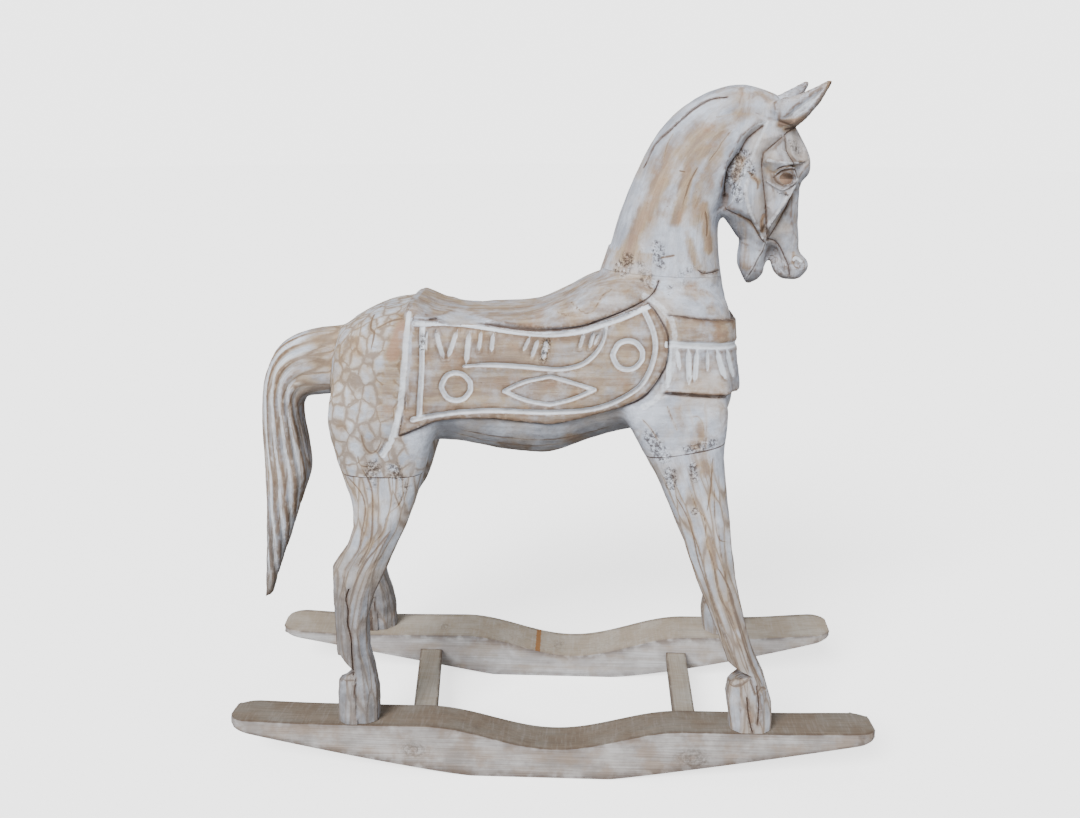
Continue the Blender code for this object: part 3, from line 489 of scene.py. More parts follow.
headMarks = {
    "facetDepth": 2.0,         # how strongly the facets' heights are taken
    # facets of the face: ridge and valley lines as (x, z, how far they stand proud)
    "facets": metres(
        # hollow along the throat, from the ear to the jaw's corner
        ((220.4, 730.1, -1.5), (206.3, 716.6, -2.8), (200.1, 703, -3), (188.5, 685.4, -3),
         (186.7, 659.6, -2.6), (186.6, 645.6, -1.2)),
        ((256.2, 727.2, -1), (244.7, 721.4, -1.6), (222.1, 703, -2)),
        ((222.1, 703, -2), (220.8, 691.3, -1.8), (224, 671.6, -2), (228.5, 647.6, -2), (231, 629.5, -1.6),
         (233.8, 610.8, -1)),
        ((258.3, 663.7, -1.2), (250.1, 641.6, -2), (237.6, 616.3, -1.4), (233.8, 610.8, -1)),
        ((234.9, 609.5, -1.5), (244.4, 605, -2), (253.5, 592.7, -2.2), (259.4, 581.4, -1.8),
         (262.3, 568.9, -0.4)),
        ((188, 643.5, 0.4), (198.7, 637.1, -1), (214.4, 629.4, -1.4), (225.5, 613.2, -1)),
        ((243.7, 721.4, -1.2), (247.8, 704.9, -1.6), (256.5, 688.9, -2)),
        # cheek straps
        ((258.9, 674.6, 1.2), (249, 658.7, 3.6), (238.1, 639.6, 3.4), (232.5, 625.4, 1.6)),
        ((208.7, 675.5, 1), (206.9, 659.6, 2.6), (213.8, 639.6, 3), (222.9, 623.4, 1.8)),
        # chin, brow, cheek and the band behind the throat
        ((233, 607.5, 0.4), (228.4, 598.8, 2.4), (221.3, 580.2, 2.8), (216.5, 566.5, 0.6)),
        ((226.5, 695.2, 1.6), (242.7, 692.3, 3.2), (257.5, 691.5, 1.6)),
        ((225.1, 733.9, 0.4), (217.4, 714.7, 2), (210.5, 695.2, 2.2), (200, 671.6, 2), (195.5, 653, 1)),
        ((216.5, 735.8, 0.6), (196.2, 718.6, 1.4), (183.5, 695.2, 1.6), (179.7, 671.5, 1.2), (178, 650, 0)),
        # where the facets run out: neck side, nose and jaw
        ((200, 748, 0), (176, 718, 0), (167, 695, 0), (165, 665, 0), (169, 635, 0)),
        ((270, 725, 0), (276, 695, 0), (270, 665, 0), (272, 630, 0), (276, 602, 0), (290, 585, 0),
         (270, 560, 0)),
        ((192, 625, 0), (201, 603, 0), (200, 582, 0), (208, 564, 0)), ((230, 560, 0), (238, 570, 0)),
        # single high and low spots
        ((231.3, 683.4, -2.4),), ((233.6, 708.8, 0.8),), ((237.1, 655.7, -1.6),), ((242, 590.6, -2.6),),
        ((231, 583, 0.6),), ((206, 609, 0.4),), ((201, 644, 1.4),), ((256, 640, 0.6),), ((260, 620, 0.6),),
    ),
    # dark carved lines: points, half width, depth
    "lines": metres(
        (((220.4, 730.1), (206.3, 716.6), (200.1, 703)), 0.7, 0.6),
        (((200.1, 703), (188.8, 685.4), (186.9, 664), (186.6, 656)), 0.9, 1.2),
        (((256.2, 727.2), (244.7, 721.4), (222.1, 703)), 0.9, 1),
        (((222.1, 703), (220.8, 691.3), (224, 671.6), (228.5, 647.6), (231, 629.5), (233.8, 610.8)), 0.8,
         0.8),
        (((258.3, 663.7), (250.1, 641.6), (237.6, 616.3), (234, 609.5)), 0.8, 1),
        (((234.9, 609.5), (244.4, 605), (253.5, 592.7), (259.4, 581.4), (262.3, 568.9)), 1, 1),
        (((237.1, 686.4), (243.9, 689.3), (258.9, 689.7)), 1.1, 1.2),
        (((186.7, 644.5), (198.7, 637.1), (214.4, 629.4), (225.5, 613.2), (231.6, 608.1)), 0.8, 0.6),
        (((243.7, 721.4), (247.8, 704.9), (256.5, 688.9)), 0.7, 0.6),
        (((233, 608), (228.4, 598.8), (221.3, 580.2), (216, 564.9)), 1.1, 0.4),
        (((203.6, 583.2), (209.3, 573.9), (216.1, 564.5)), 1, 0.4),
        (((98, 686), (111, 712), (127, 727.5), (147, 745.5), (166, 756.5), (183, 759)), 0.8, 1.4),
        (((158, 580), (164, 576), (172, 575.5), (184, 576.5)), 1, 1),
    ),
    # raised bands: points, half width, height
    "ribs": metres(
        (((208.7, 675.5), (206.9, 659.6), (213.8, 639.6), (222.9, 623.4), (229, 612)), 1.9, 0.8),
        (((258.9, 674.6), (249, 658.7), (238.1, 639.6), (232.5, 625.4)), 2.2, 1),
        (((227.9, 673.6), (240.5, 666), (245.4, 666.8), (257.4, 674.5)), 1.4, 1.4),
        (((235.6, 680.5), (241.3, 686.2), (248.1, 687.8), (258, 687.2)), 1.3, 1),
        (((223, 734), (208, 727), (196, 713), (186, 696)), 2.2, 0.6),
    ),
    # hollows: outline, depth, how soft their edge is
    "hollows": metres(
        (((265.5, 590.5), (268.5, 591.5), (274, 588), (274.5, 583.8), (271, 580), (267, 583)), 0.8, 4.5),
        (((237, 603), (240, 590), (243, 578), (250, 572), (257, 572), (252, 586), (245, 600)), 2.2, 6),
    ),
    "eye": metres((235, 677.5), (241.3, 683.4), (248.1, 685.8), (258.2, 685), (258.5, 677), (252.5, 669.8),
                  (243.2, 669), (237.2, 673.5), (235, 677.5)),
    "eyeRise": 0.0016,
    "iris": metres((246.2, 676.6), 6.6),
    "earScoop": metres((240.7, 737.7), (250, 749.1), (266, 760.6), (282.3, 771.7), (277.5, 758.7),
                       (267, 744.4), (251.6, 733.8)),
    "earEdge": metres((287, 773), (282.5, 757), (270, 739), (257, 728.5), (244, 726.5)),
    "bareWood": drawn(
        (((124, 690), (107, 654), (91, 620), (81, 591)), 8.5, 0.85),
        (((161, 719), (142, 703), (130, 690)), 20, 0.7), (((176, 712), (168, 690), (164, 668)), 10, 0.55),
        (((120, 660), (114, 636), (108, 612)), 10, 0.5), (((110, 690), (126, 682), (145, 688)), 11, 0.62),
        (((143, 690), (139, 660), (133, 632)), 6.8, 0.8), (((157, 668), (155, 640), (152, 628)), 6, 0.72),
        (((161, 648), (166, 620), (169, 602)), 6, 0.86), (((145, 620), (151, 600), (158, 583)), 5, 0.75),
        (((149, 713), (174, 730), (198, 742), (220, 747)), 8.5, 0.56),
        (((179, 759), (199, 759), (223, 757)), 11, 0.58),
        (((238.1, 732), (247.8, 733.9), (261.5, 735.8)), 4.2, 1.0),
        (((257, 660), (250, 645), (243, 629)), 3, 0.75),
        (((227.1, 636.6), (225.6, 629.5), (227.5, 620.3)), 2.6, 1.0),
        (((201, 637), (214.4, 629), (223, 618)), 2.4, 0.8), (((229, 686), (234, 679)), 5, 0.62),
        (((245.5, 718), (250, 705), (256, 692)), 2.6, 0.6), (((259, 656), (262, 630)), 2.4, 0.55),
        (((213, 678), (218, 673)), 3.4, 0.9), (((200, 696), (196, 676)), 6, 0.8),
        (((204, 626), (212, 602), (216, 580)), 5, 0.5), (((236, 682), (250, 690), (259, 690)), 4, 0.75),
        (((248, 650), (254, 658)), 5, 0.6), (((266, 596), (264, 585)), 2.2, 0.6),
    ),
    # painted shade inside the nostril
    "grime": drawn((((268.5, 588.5), (272.5, 584.5)), 4, 0.75)),
    "whitePaintAndHighlight": drawn((((265, 589), (269, 591.5), (275, 587)), 2.6, 0.55),
                        (((256, 686), (258, 670), (254, 660)), 2.2, 0.6)),
    "brownVein": drawn(
        (((128, 723), (121, 709), (118, 692)), 1, 0.7),
        (((188, 726), (178, 713), (175, 707), (164, 692)), 1, 0.8),
        (((154, 688), (146, 672), (139, 648)), 1, 0.9), (((164, 642), (167, 628), (167, 614)), 1, 1.0),
        (((149, 704), (160, 708), (176, 705)), 1, 0.6), (((117, 593), (133, 596)), 0.9, 1.0),
        (((134, 684), (141, 683)), 0.8, 1.0), (((170, 738), (190, 742), (214, 741)), 0.9, 0.6),
        (((208.2, 683.4), (213.6, 677.5), (218, 671.6), (218, 664)), 1.6, 1.0),
        (((227.1, 636.6), (225.6, 629.5), (228, 619)), 1, 0.9),
        (((258, 664), (256, 648), (250, 635)), 0.9, 0.6),
        (((235, 679), (240, 684.8), (249, 688), (256, 688)), 1.6, 0.95),
        (((235.2, 678), (237.5, 673), (244, 669)), 1, 0.9),
        (((263, 656), (264.5, 620), (265.5, 600)), 0.8, 0.6),
        (((193, 633), (201, 610), (206, 590)), 0.8, 0.5), (((205, 632), (211, 612), (215, 593)), 0.8, 0.5),
        (((264, 592.5), (269, 593), (275, 589), (276.5, 584)), 0.6, 0.8),
        (((264, 591.5), (266, 582), (271, 578.5)), 0.6, 0.9),
    ),
    "chippedFiller": drawn(
        (((204, 698), (196, 682)), 8.5, 1.0), (((193, 680), (200, 658)), 7, 0.86),
        (((210, 690), (213, 680)), 3.5, 0.8), (((78, 580), (84, 590)), 7, 0.8),
        (((114, 606), (118, 586)), 7, 0.7), (((140, 576), (150, 580)), 6, 0.6),
        (((240, 662), (247, 660.5)), 1.6, 0.9), (((250, 714), (262, 706)), 5.5, 0.6),
    ),
}


def smoothLine(points, steps=6):
    # the same line with rounded bends; a straight one stays as it is
    if len(points) < 3:
        return points
    table = np.array(points, dtype=float)
    return [tuple(between(table, place / steps)) for place in range((len(table) - 1) * steps + 1)]


def ringPoints(centre, radius):
    # a circle that was cut by hand
    return [(centre[0] + radius * math.cos(turn * math.tau / 24) * (1.0 + 0.03 * math.sin(turn * 1.7)),
             centre[1] + radius * math.sin(turn * math.tau / 24)) for turn in range(25)]


def segmentDistance(u, v, start, end):
    # distance to a straight line, and the share of it that lies before the nearest place
    (au, av), (bu, bv) = start, end
    t = limit(((u - au) * (bu - au) + (v - av) * (bv - av)) / ((bu - au) ** 2 + (bv - av) ** 2))
    return np.hypot(u - au - t * (bu - au), v - av - t * (bv - av)), t


def lineDistance(u, v, points):
    # distance to a bent line, and how far along it the nearest place is, from 0 to 1
    points = np.array(points, dtype=float)
    lengths = np.hypot(*np.diff(points, axis=0).T)
    nearest = np.full(len(u), 9.0)
    along = np.zeros(len(u))
    passed = 0.0
    for start, end, length in zip(points[:-1], points[1:], lengths):
        distance, t = segmentDistance(u, v, start, end)
        closer = distance < nearest
        nearest = np.where(closer, distance, nearest)
        along = np.where(closer, (passed + t * length) / lengths.sum(), along)
        passed += length
    return nearest, along


def outlineDistance(u, v, points):
    # distance to a closed outline, negative inside
    nearest = np.full(len(u), 9.0)
    inside = np.zeros(len(u), dtype=bool)
    points = list(points)
    for start, end in zip(points, points[1:] + points[:1]):
        if start == end:
            continue
        nearest = np.minimum(nearest, segmentDistance(u, v, start, end)[0])
        (au, av), (bu, bv) = start, end
        reach = au + (v - av) / (bv - av if bv != av else 1.0) * (bu - au)
        inside ^= ((av > v) != (bv > v)) & (u < reach)
    return np.where(inside, -nearest, nearest)


def closeTo(places, widest, reach):
    # whether places lie within reach of a drawn line that is no wider than the widest
    x, z = places[:, 0], places[:, 2]
    close = np.zeros(len(places), dtype=bool)
    for points, half in drawnLines():
        if half > widest:
            continue
        low = np.min(points, axis=0) - half - reach
        high = np.max(points, axis=0) + half + reach
        chosen = np.flatnonzero((x > low[0]) & (x < high[0]) & (z > low[1]) & (z < high[1]))
        close[chosen] |= lineDistance(x[chosen], z[chosen], smoothLine(points))[0] < half + reach
    return close


def drawnLines():
    lines = [(blanket[name], blanket["half"]) for name in ("topBorder", "rearBorder", "lowerBorder")]
    lines += [(blanket["lower"], 0.003), (blanket["scroll"], 0.0028), (blanket["diamond"], 0.0024)]
    lines += [(ringPoints(*roundel), 0.003) for roundel in blanket["roundels"]]
    lines += [((start, end), half) for start, end, half in blanket["gouges"] + strap["gouges"]]
    lines += [(saddleEdge[name], saddleEdge["half"]) for name in ("line", "cantle")]
    carved = headMarks["lines"] + headMarks["ribs"] + legMarks["cracks"]
    lines += [(points, half) for points, half, depth in carved]
    for marks in (bodyMarks, legMarks, headMarks):
        lines += [(points, half) for points, half, strength in marks["brownVein"]]
    return lines


def pointVectors(mesh, name):
    values = np.empty(len(mesh.vertices) * 3)
    mesh.vertices.foreach_get(name, values)
    return values.reshape(-1, 3)


# unevenness left by the knife: spots per metre, and for each size of spot how much finer and how high it is
knife = {"scale": 34.0, "heights": ((1.0, 0.0007), (3.1, 0.00035))}


class CarvedSurface:
    # the skin's points, with what each tool does to them gathered up until it is all cut at once
    def __init__(self, mesh):
        count = len(mesh.vertices)
        self.place, self.normal = pointVectors(mesh, "co"), pointVectors(mesh, "normal")
        self.sideways = np.abs(self.normal[:, 1])  # how far the skin faces left or right
        self.x, self.y, self.z = self.place.T
        self.raised = np.zeros(count)
        self.cut = np.zeros(count)
        self.marks = {name: np.zeros(count) for name in markNames}

    def near(self, points, reach, where, plane="xz"):
        u, v = (self.x if plane == "xz" else self.y), self.z
        low = np.min(points, axis=0) - reach
        high = np.max(points, axis=0) + reach
        chosen = np.flatnonzero(where & (u > low[0]) & (u < high[0]) & (v > low[1]) & (v < high[1]))
        return chosen, u[chosen], v[chosen]

    def mark(self, name, amount, chosen=slice(None)):
        self.marks[name][chosen] = np.maximum(self.marks[name][chosen], amount)

    def gouge(self, points, half, depth, where, paint=1.0, line=0.0, rim=0.0, taper=0.0, plane="xz"):
        # round-bottomed groove; line darkens its bottom, and rim darkens its edges brown as painted shade
        points = smoothLine(points)
        chosen, u, v = self.near(points, half * 2.5 + 0.003, where, plane)
        distance, along = lineDistance(u, v, points)
        width = half * (1.0 - taper * (1.0 - smoothStep(np.minimum(along, 1.0 - along) * 5.0)))
        edge = distance / width
        self.cut[chosen] = np.minimum(self.cut[chosen], -depth * np.sqrt(limit(1.0 - (edge / 1.25) ** 2)))
        # slow ramps, which the finish cuts off cleanly half way
        self.mark("whitePaintAndHighlight", paint * limit(0.5 + (width * 1.05 - distance) / 0.004), chosen)
        self.mark("darkLine", line * limit(1.0 - distance / (width + 0.0018)), chosen)
        # painted shade along the groove's rims
        fromRim = np.abs(distance - half * 1.05 - 0.0007)
        self.mark("wornRidgeAndRimShade", rim * smoothStep(1.0 - fromRim / 0.0016), chosen)

    def facets(self, lines, where):
        # flat faces between ridge and valley lines
        corners, edges = [], []
        for line in lines:
            for spot, (x, z, height) in enumerate(line):
                corners.append((x, z, height))
                if spot:
                    edges.append((len(corners) - 2, len(corners) - 1))
        spots = [Vector((x, z)) for x, z, height in corners]
        places, _, triangles, origins, _, _ = delaunay_2d_cdt(spots, edges, [], 0, 1e-5)
        height = [corners[origin[0]][2] if origin else 0.0 for origin in origins]
        for face in triangles:
            (au, av), (bu, bv), (cu, cv) = (places[corner] for corner in face)
            area = (bu - au) * (cv - av) - (cu - au) * (bv - av)
            chosen, u, v = self.near([places[corner] for corner in face], 0.0, where)
            shareB = ((u - au) * (cv - av) - (cu - au) * (v - av)) / area
            shareC = ((bu - au) * (v - av) - (u - au) * (bv - av)) / area
            inside = (shareB >= 0.0) & (shareC >= 0.0) & (shareB + shareC < 1.0)
            levels = [height[corner] for corner in face]
            lift = levels[0] + shareB * (levels[1] - levels[0]) + shareC * (levels[2] - levels[0])
            facing = smoothStep((self.sideways[chosen] - 0.1) / 0.3)
            self.raised[chosen[inside]] += (lift * facing)[inside] * headMarks["facetDepth"]

    def rib(self, points, half, height, where):
        points = smoothLine(points)
        chosen, u, v = self.near(points, half * 2.0, where)
        edge = lineDistance(u, v, points)[0] / half
        self.raised[chosen] += height * smoothStep((1.25 - edge) / 0.6)
        self.mark("whitePaintAndHighlight", 0.5 * smoothStep((1.0 - edge) / 0.5), chosen)

    def colour(self, name, points, half, strength, where):
        points = smoothLine(points)
        chosen, u, v = self.near(points, half * 2.2 + 0.002, where)
        distance, along = lineDistance(u, v, points)
        if name == "brownVein":
            width = (half + 0.0019) * smoothStep(np.minimum(along, 1.0 - along) * 6.0 + 0.25)
            self.mark(name, strength * limit(1.0 - distance / width), chosen)
        else:
            self.mark(name, strength * smoothStep((1.8 - distance / half) / 1.5), chosen)

    def colourAll(self, marks, names, where):
        for name in names:
            for points, half, strength in marks[name]:
                self.colour(name, points, half, strength, where)

    def roughen(self):
        spots = [Vector(place) for place in self.place * knife["scale"]]
        for finer, height in knife["heights"]:
            self.raised += height * np.array([noise.noise(spot * finer) for spot in spots])

    def finish(self, mesh):
        self.place += self.normal * (self.raised + self.cut)[:, None]
        mesh.vertices.foreach_set("co", self.place.ravel())
        mesh.update()


def carveBlanket(surface):
    x, y, z = surface.x, surface.y, surface.z
    flank = (np.abs(y) > 0.045) & (surface.sideways > 0.3) & (x < 0.165) & (z > 0.375)
    outline = smoothLine(blanket["rear"]) + smoothLine(blanket["lower"]) + smoothLine(blanket["upper"])
    chosen, u, v = surface.near(outline, 0.02, flank)
    edge = outlineDistance(u, v, outline)
    surface.raised[chosen] += blanket["rise"] * smoothStep(0.5 - edge / 0.0022)
    inside = smoothStep(0.5 - edge / 0.002)
    surface.mark("bareWood", 0.71 * inside, chosen)
    # the low and front edge is rubbed brown, with a painted shadow line under it, where the blanket stands
    # proud
    under = smoothStep((0.47 - v) / 0.02) + smoothStep((u - 0.09) / 0.02)
    surface.mark("wornRidgeAndRimShade", limit(under) * smoothStep(1.0 - np.abs(edge + 0.0026) / 0.0034), chosen)
    surface.mark("darkLine", limit(under) * limit(1.0 - np.abs(edge - 0.0008) / 0.0034), chosen)
    for name in ("topBorder", "rearBorder", "lowerBorder"):
        steep = flank & ((surface.sideways > 0.36) | (z < 0.515))
        surface.gouge(blanket[name], blanket["half"], blanket["depth"], steep, rim=1.0)
    deep = blanket["ornamentDepth"]
    surface.gouge(blanket["scroll"], blanket["scrollHalf"], deep, flank, rim=0.9, taper=0.4)
    for roundel in blanket["roundels"]:
        surface.gouge(ringPoints(*roundel), blanket["half"], deep, flank, rim=0.9)
    points = blanket["diamond"]
    for start, end in ((0, 3), (2, 5), (4, 7), (6, 9)):
        surface.gouge(points[start:end], blanket["diamondHalf"], deep, flank, rim=0.9)
    for start, end, half in blanket["gouges"]:
        start = (start[0] + (end[0] - start[0]) * 0.1, start[1] + (end[1] - start[1]) * 0.1)
        surface.gouge((start, end), half, blanket["gougeDepth"], flank, paint=0.74, rim=0.8, taper=0.65)
    surface.gouge(blanket["rearCove"], *blanket["rearHollow"], flank, paint=0.62)
    surface.gouge(blanket["frontCove"], *blanket["frontHollow"], flank, paint=0.5)


def carveSaddle(surface):
    x, y, z = surface.x, surface.y, surface.z
    flank = (np.abs(y) > 0.03) & (surface.sideways > 0.25) & (x < 0.14) & (z > 0.5)
    line = smoothLine(saddleEdge["line"])
    level = np.interp(x, *zip(*line))
    above = smoothStep((z - level) / 0.0018) * smoothStep((x + 0.132) / 0.02) * smoothStep((0.1 - x) / 0.05)
    surface.raised += saddleEdge["rise"] * above * (z > 0.5) * (z < 0.6)
    onSeat = smoothStep((z - level) / 0.0018) * (z < 0.6) * (x < 0.11) * (x > -0.152)
    surface.mark("bareWood", np.where(x < -0.02, 0.7, 0.58) * onSeat)
    # the dark line under the seat's edge is painted shadow of the seat's overhang
    surface.gouge(saddleEdge["line"][1:], saddleEdge["half"], 0.0016, flank, paint=0.0, line=1.0, rim=0.3,
                  taper=0.7)
    surface.gouge(saddleEdge["cantle"], 0.001, 0.001, flank, paint=0.0, line=0.8)
    for points in saddleEdge["veins"]:
        surface.colour("brownVein", points, saddleEdge["half"], 0.9, flank)


def carveStrap(surface):
    x, y, z = surface.x, surface.y, surface.z
    low, high, line = (start + slope * (x - strap["rear"])
                       for start, slope in (strap["low"], strap["high"], strap["line"]))
    reach = np.minimum(np.minimum(z - low, high - z), (x - strap["rear"]) * 0.4)
    chest = (x > 0.1) & (z > 0.42) & (z < 0.56)
    corner = 1.0 + 0.45 * smoothStep((x - 0.18) / 0.02) * smoothStep((0.485 - z) / 0.03)
    surface.raised += strap["rise"] * smoothStep(0.5 + reach / 0.0022) * chest * corner
    groove = limit(0.5 + (0.0032 - np.abs(z - line)) / 0.004) * (reach > 0.0) * chest
    surface.cut = np.minimum(surface.cut, -0.0022 * groove)
    surface.mark("whitePaintAndHighlight", groove)
    edge = np.minimum(np.abs(z - low), np.abs(z - high))
    onStrap = chest * smoothStep((x - strap["rear"] + 0.002) / 0.006)
    surface.mark("darkLine", 0.86 * limit(1.0 - np.abs(edge - 0.0006) / 0.0028) * onStrap)
    surface.mark("wornRidgeAndRimShade", smoothStep(1.0 - edge / 0.003) * (reach > 0.0) * onStrap)
    upper = smoothStep((z - line - 0.003) / 0.002) * (reach > 0.0) * chest
    surface.mark("bareWood", 0.72 * upper)
    surface.mark("bareWood", 0.4 * (reach > 0.0) * chest)
    side = chest & (surface.sideways > 0.45) & (np.abs(y) > 0.03)
    front = chest & (surface.normal[:, 0] > 0.45) & (x > 0.16)
    for start, end, half in strap["gouges"]:
        surface.gouge((start, end), half, strap["depth"], side, paint=0.95, rim=0.4, taper=0.6)
    for start, end, half in strap["frontGouges"]:
        surface.gouge((start, end), half, strap["depth"], front, paint=0.95, rim=0.4, taper=0.6, plane="yz")


def stationPlace(x, z, form, steps=20):
    # metres along a bent form from its first row, place across it from -1 to 1, its half width and its depth
    table = formTable(form)
    nearest = np.full(len(x), 9.0)
    found = np.zeros((4, len(x)))
    travelled = 0.0
    last = None
    for step in range((len(table) - 1) * steps + 1):
        lowX, lowZ, highX, highZ, halfWidth = between(table, step / steps)
        middle = np.array(((lowX + highX) / 2, (lowZ + highZ) / 2))
        if last is not None:
            travelled += float(np.hypot(*(middle - last)))
        last = middle
        span = math.hypot(highX - lowX, highZ - lowZ)
        toHighX, toHighZ = (highX - lowX) / span, (highZ - lowZ) / span
        offX, offZ = x - middle[0], z - middle[1]
        sideways = np.abs(offX * toHighZ - offZ * toHighX)
        closer = sideways < nearest
        nearest = np.where(closer, sideways, nearest)
        across = (offX * toHighX + offZ * toHighZ) / span * 2
        for row, value in enumerate((travelled, across, halfWidth, span)):
            found[row] = np.where(closer, value, found[row])
    return found


def carveTail(surface):
    chosen = np.flatnonzero(surface.x < -0.245)
    x, y, z = surface.x[chosen], surface.y[chosen], surface.z[chosen]
    along, across, half, width = stationPlace(x, z, tail)
    # flutes keep their distance from the rear edge and run out at the front one
    fromRear = np.abs(np.arctan2(y / half, across)) / 2 * (width / 2 + half)
    fromRear += 0.0012 * np.sin(along * 31.0 + np.sign(y)) + 0.0007 * np.sin(along * 83.0)
    wave = 0.5 + 0.5 * np.cos(fromRear / tail["flute"] * math.tau + 1.0)
    fade = smoothStep((tail["flutesFrom"] - x) / 0.03) * smoothStep((z - 0.158) / 0.05)
    surface.cut[chosen] = np.minimum(surface.cut[chosen], -tail["fluteDepth"] * fade * wave)
    surface.mark("whitePaintAndHighlight", fade * smoothStep((wave - 0.42) / 0.5) * 0.6, chosen)
    surface.mark("wornRidgeAndRimShade", fade * smoothStep((0.22 - wave) / 0.2) * 0.6, chosen)
    surface.mark("bareWood", fade * smoothStep((0.5 - wave) / 0.3) * 0.4, chosen)
    root = smoothStep((x + 0.3) / 0.03) * smoothStep((z - 0.405) / 0.02)
    surface.mark("bareWood", 0.42 * root, chosen)
    surface.mark("darkLine", 0.7 * smoothStep((0.178 - z) / 0.02), chosen)
    surface.mark("bareWood", 0.7 * smoothStep((0.215 - z) / 0.05), chosen)


def carveHead(surface):
    x, y, z = surface.x, surface.y, surface.z
    head = (z > 0.548) & (np.abs(y) > 0.006) & (surface.sideways > 0.18) & (x > 0.04)
    face = head & (x > 0.182)
    surface.facets(headMarks["facets"], (z > 0.548) & (np.abs(y) > 0.006) & (x > 0.16))
    for outline, depth, soft in headMarks["hollows"]:
        chosen, u, v = surface.near(outline, 0.01, face)
        surface.raised[chosen] -= depth * smoothStep(0.2 - outlineDistance(u, v, outline) / soft)
    for points, half, height in headMarks["ribs"]:
        surface.rib(points, half, height, face)
    for points, half, depth in headMarks["lines"]:
        surface.gouge(points, half * 0.52, depth, head, paint=0.0, line=0.86, taper=0.8)
    # valley lines get painted shade and ridge lines a painted highlight, to show the face's facets
    for line in headMarks["facets"]:
        spots, level = [spot[:2] for spot in line], sum(spot[2] for spot in line) / len(line)
        if len(line) > 2 and level < -0.001:
            surface.colour("grime", spots, 0.004, 0.75, face)
        elif len(line) > 2 and level > 0.001:
            surface.colour("whitePaintAndHighlight", spots, 0.0032, 0.5, face)
    eyeball = outlineDistance(x, z, headMarks["eye"])
    lids = face & (np.abs(y) > 0.015)
    surface.raised += headMarks["eyeRise"] * smoothStep(0.4 - eyeball / 0.003) * lids
    surface.mark("whitePaintAndHighlight", 0.4 * smoothStep(0.5 - eyeball / 0.0012) * lids)
    # painted shade in the socket round the eye
    surface.mark("grime", 0.75 * smoothStep(1.0 - np.abs(eyeball - 0.002) / 0.006) * lids)
    # the lid line is darker above: painted shade under the upper lid
    lidLine = limit(1.0 - np.abs(eyeball - 0.0005) / 0.0032) * lids
    surface.mark("darkLine", lidLine * np.where(z > 0.677, 1.0, 0.7))
    (irisX, irisZ), radius = headMarks["iris"]
    iris = np.hypot((x - irisX) * 0.9, z - irisZ)
    inIris = smoothStep((radius - iris) / 0.001) * (eyeball < 0.0004) * lids
    surface.marks["whitePaintAndHighlight"] *= 1.0 - inIris
    surface.mark("bareWood", inIris)
    surface.mark("darkLine", 0.75 * smoothStep(1.0 - np.abs(iris - radius) / 0.0011) * (eyeball < 0) * lids)
    # the iris is darker in its upper half: painted shade under the lid
    surface.mark("darkLine", np.where(z > 0.6765, 0.84, 0.62) * inIris)
    outer = face & (np.abs(y) > ear["fromMiddle"] - 0.001) & (x > 0.236) & (z > 0.724)
    scoop = outlineDistance(x, z, headMarks["earScoop"])
    surface.raised -= 0.0028 * smoothStep(0.2 - scoop / 0.006) * outer
    surface.mark("whitePaintAndHighlight", 0.5 * smoothStep(0.3 - scoop / 0.005) * outer)
    near, u, v = surface.near(headMarks["earEdge"], 0.01, (x > 0.236) & (z > 0.722) & (np.abs(y) > 0.012))
    edge = lineDistance(u, v, smoothLine(headMarks["earEdge"]))[0]
    surface.mark("darkLine", limit(1.0 - edge / 0.0032), near)
    surface.mark("bareWood", 0.8 * smoothStep(1.4 - edge / 0.0045), near)
    surface.colourAll(headMarks, ("bareWood", "brownVein", "chippedFiller", "whitePaintAndHighlight", "grime"), head)


def cutFacets(surface, form, chosen):
    # pare a lower leg to the flats that the knife left, with a square heel block at its foot
    x, y, z = surface.place[chosen].T
    table = formTable(form)[::-1]
    side = np.sign(y)
    setBack = legSetBack(form, side, z)
    low = np.interp(z, table[:, 1], table[:, 0]) - setBack
    high = np.interp(z, table[:, 3], table[:, 2]) - setBack
    halfWidth = np.interp(z, table[:, 1], table[:, 4])
    top = np.interp(x + setBack, *zip(*form["blockTop"]))
    onShaft = smoothStep((z - top) / 0.0035)
    halfWidth = halfWidth - onShaft * 0.0026 * smoothStep((0.15 - z) / 0.02)
    across = (x - (low + high) / 2) / ((high - low) / 2)
    sideways = (y - legMiddle(side, z)) / halfWidth
    size = np.maximum(np.hypot(across, sideways), 1e-6)
    flatX, flatY = np.abs(across) / size, np.abs(sideways) / size
    corner = 1.5 + 0.05 * np.sin(z * 46.0 + side)
    reach = 1.0 / np.maximum(np.maximum(flatX, flatY), (flatX + flatY) / corner)
    share = form["faceted"] * smoothStep((stance["facetsBelow"] - z) / 0.06) * smoothStep((size - 0.5) / 0.3)
    # brown lines where two flats meet
    meeting = np.abs(np.maximum(flatX, flatY) - (flatX + flatY) / corner + 0.03 * np.sin(z * 61.0 + side))
    surface.mark("brownVein", 0.86 * share * limit(1.0 - meeting / 0.13) * onShaft, chosen)
    surface.mark("brownVein", 0.6 * share * limit(1.0 - meeting / 0.1), chosen)
    stretch = 1.0 + share * (reach / size - 1.0)
    surface.place[chosen, 0] = (low + high) / 2 + (x - (low + high) / 2) * stretch
    surface.place[chosen, 1] = legMiddle(side, z) + (y - legMiddle(side, z)) * stretch


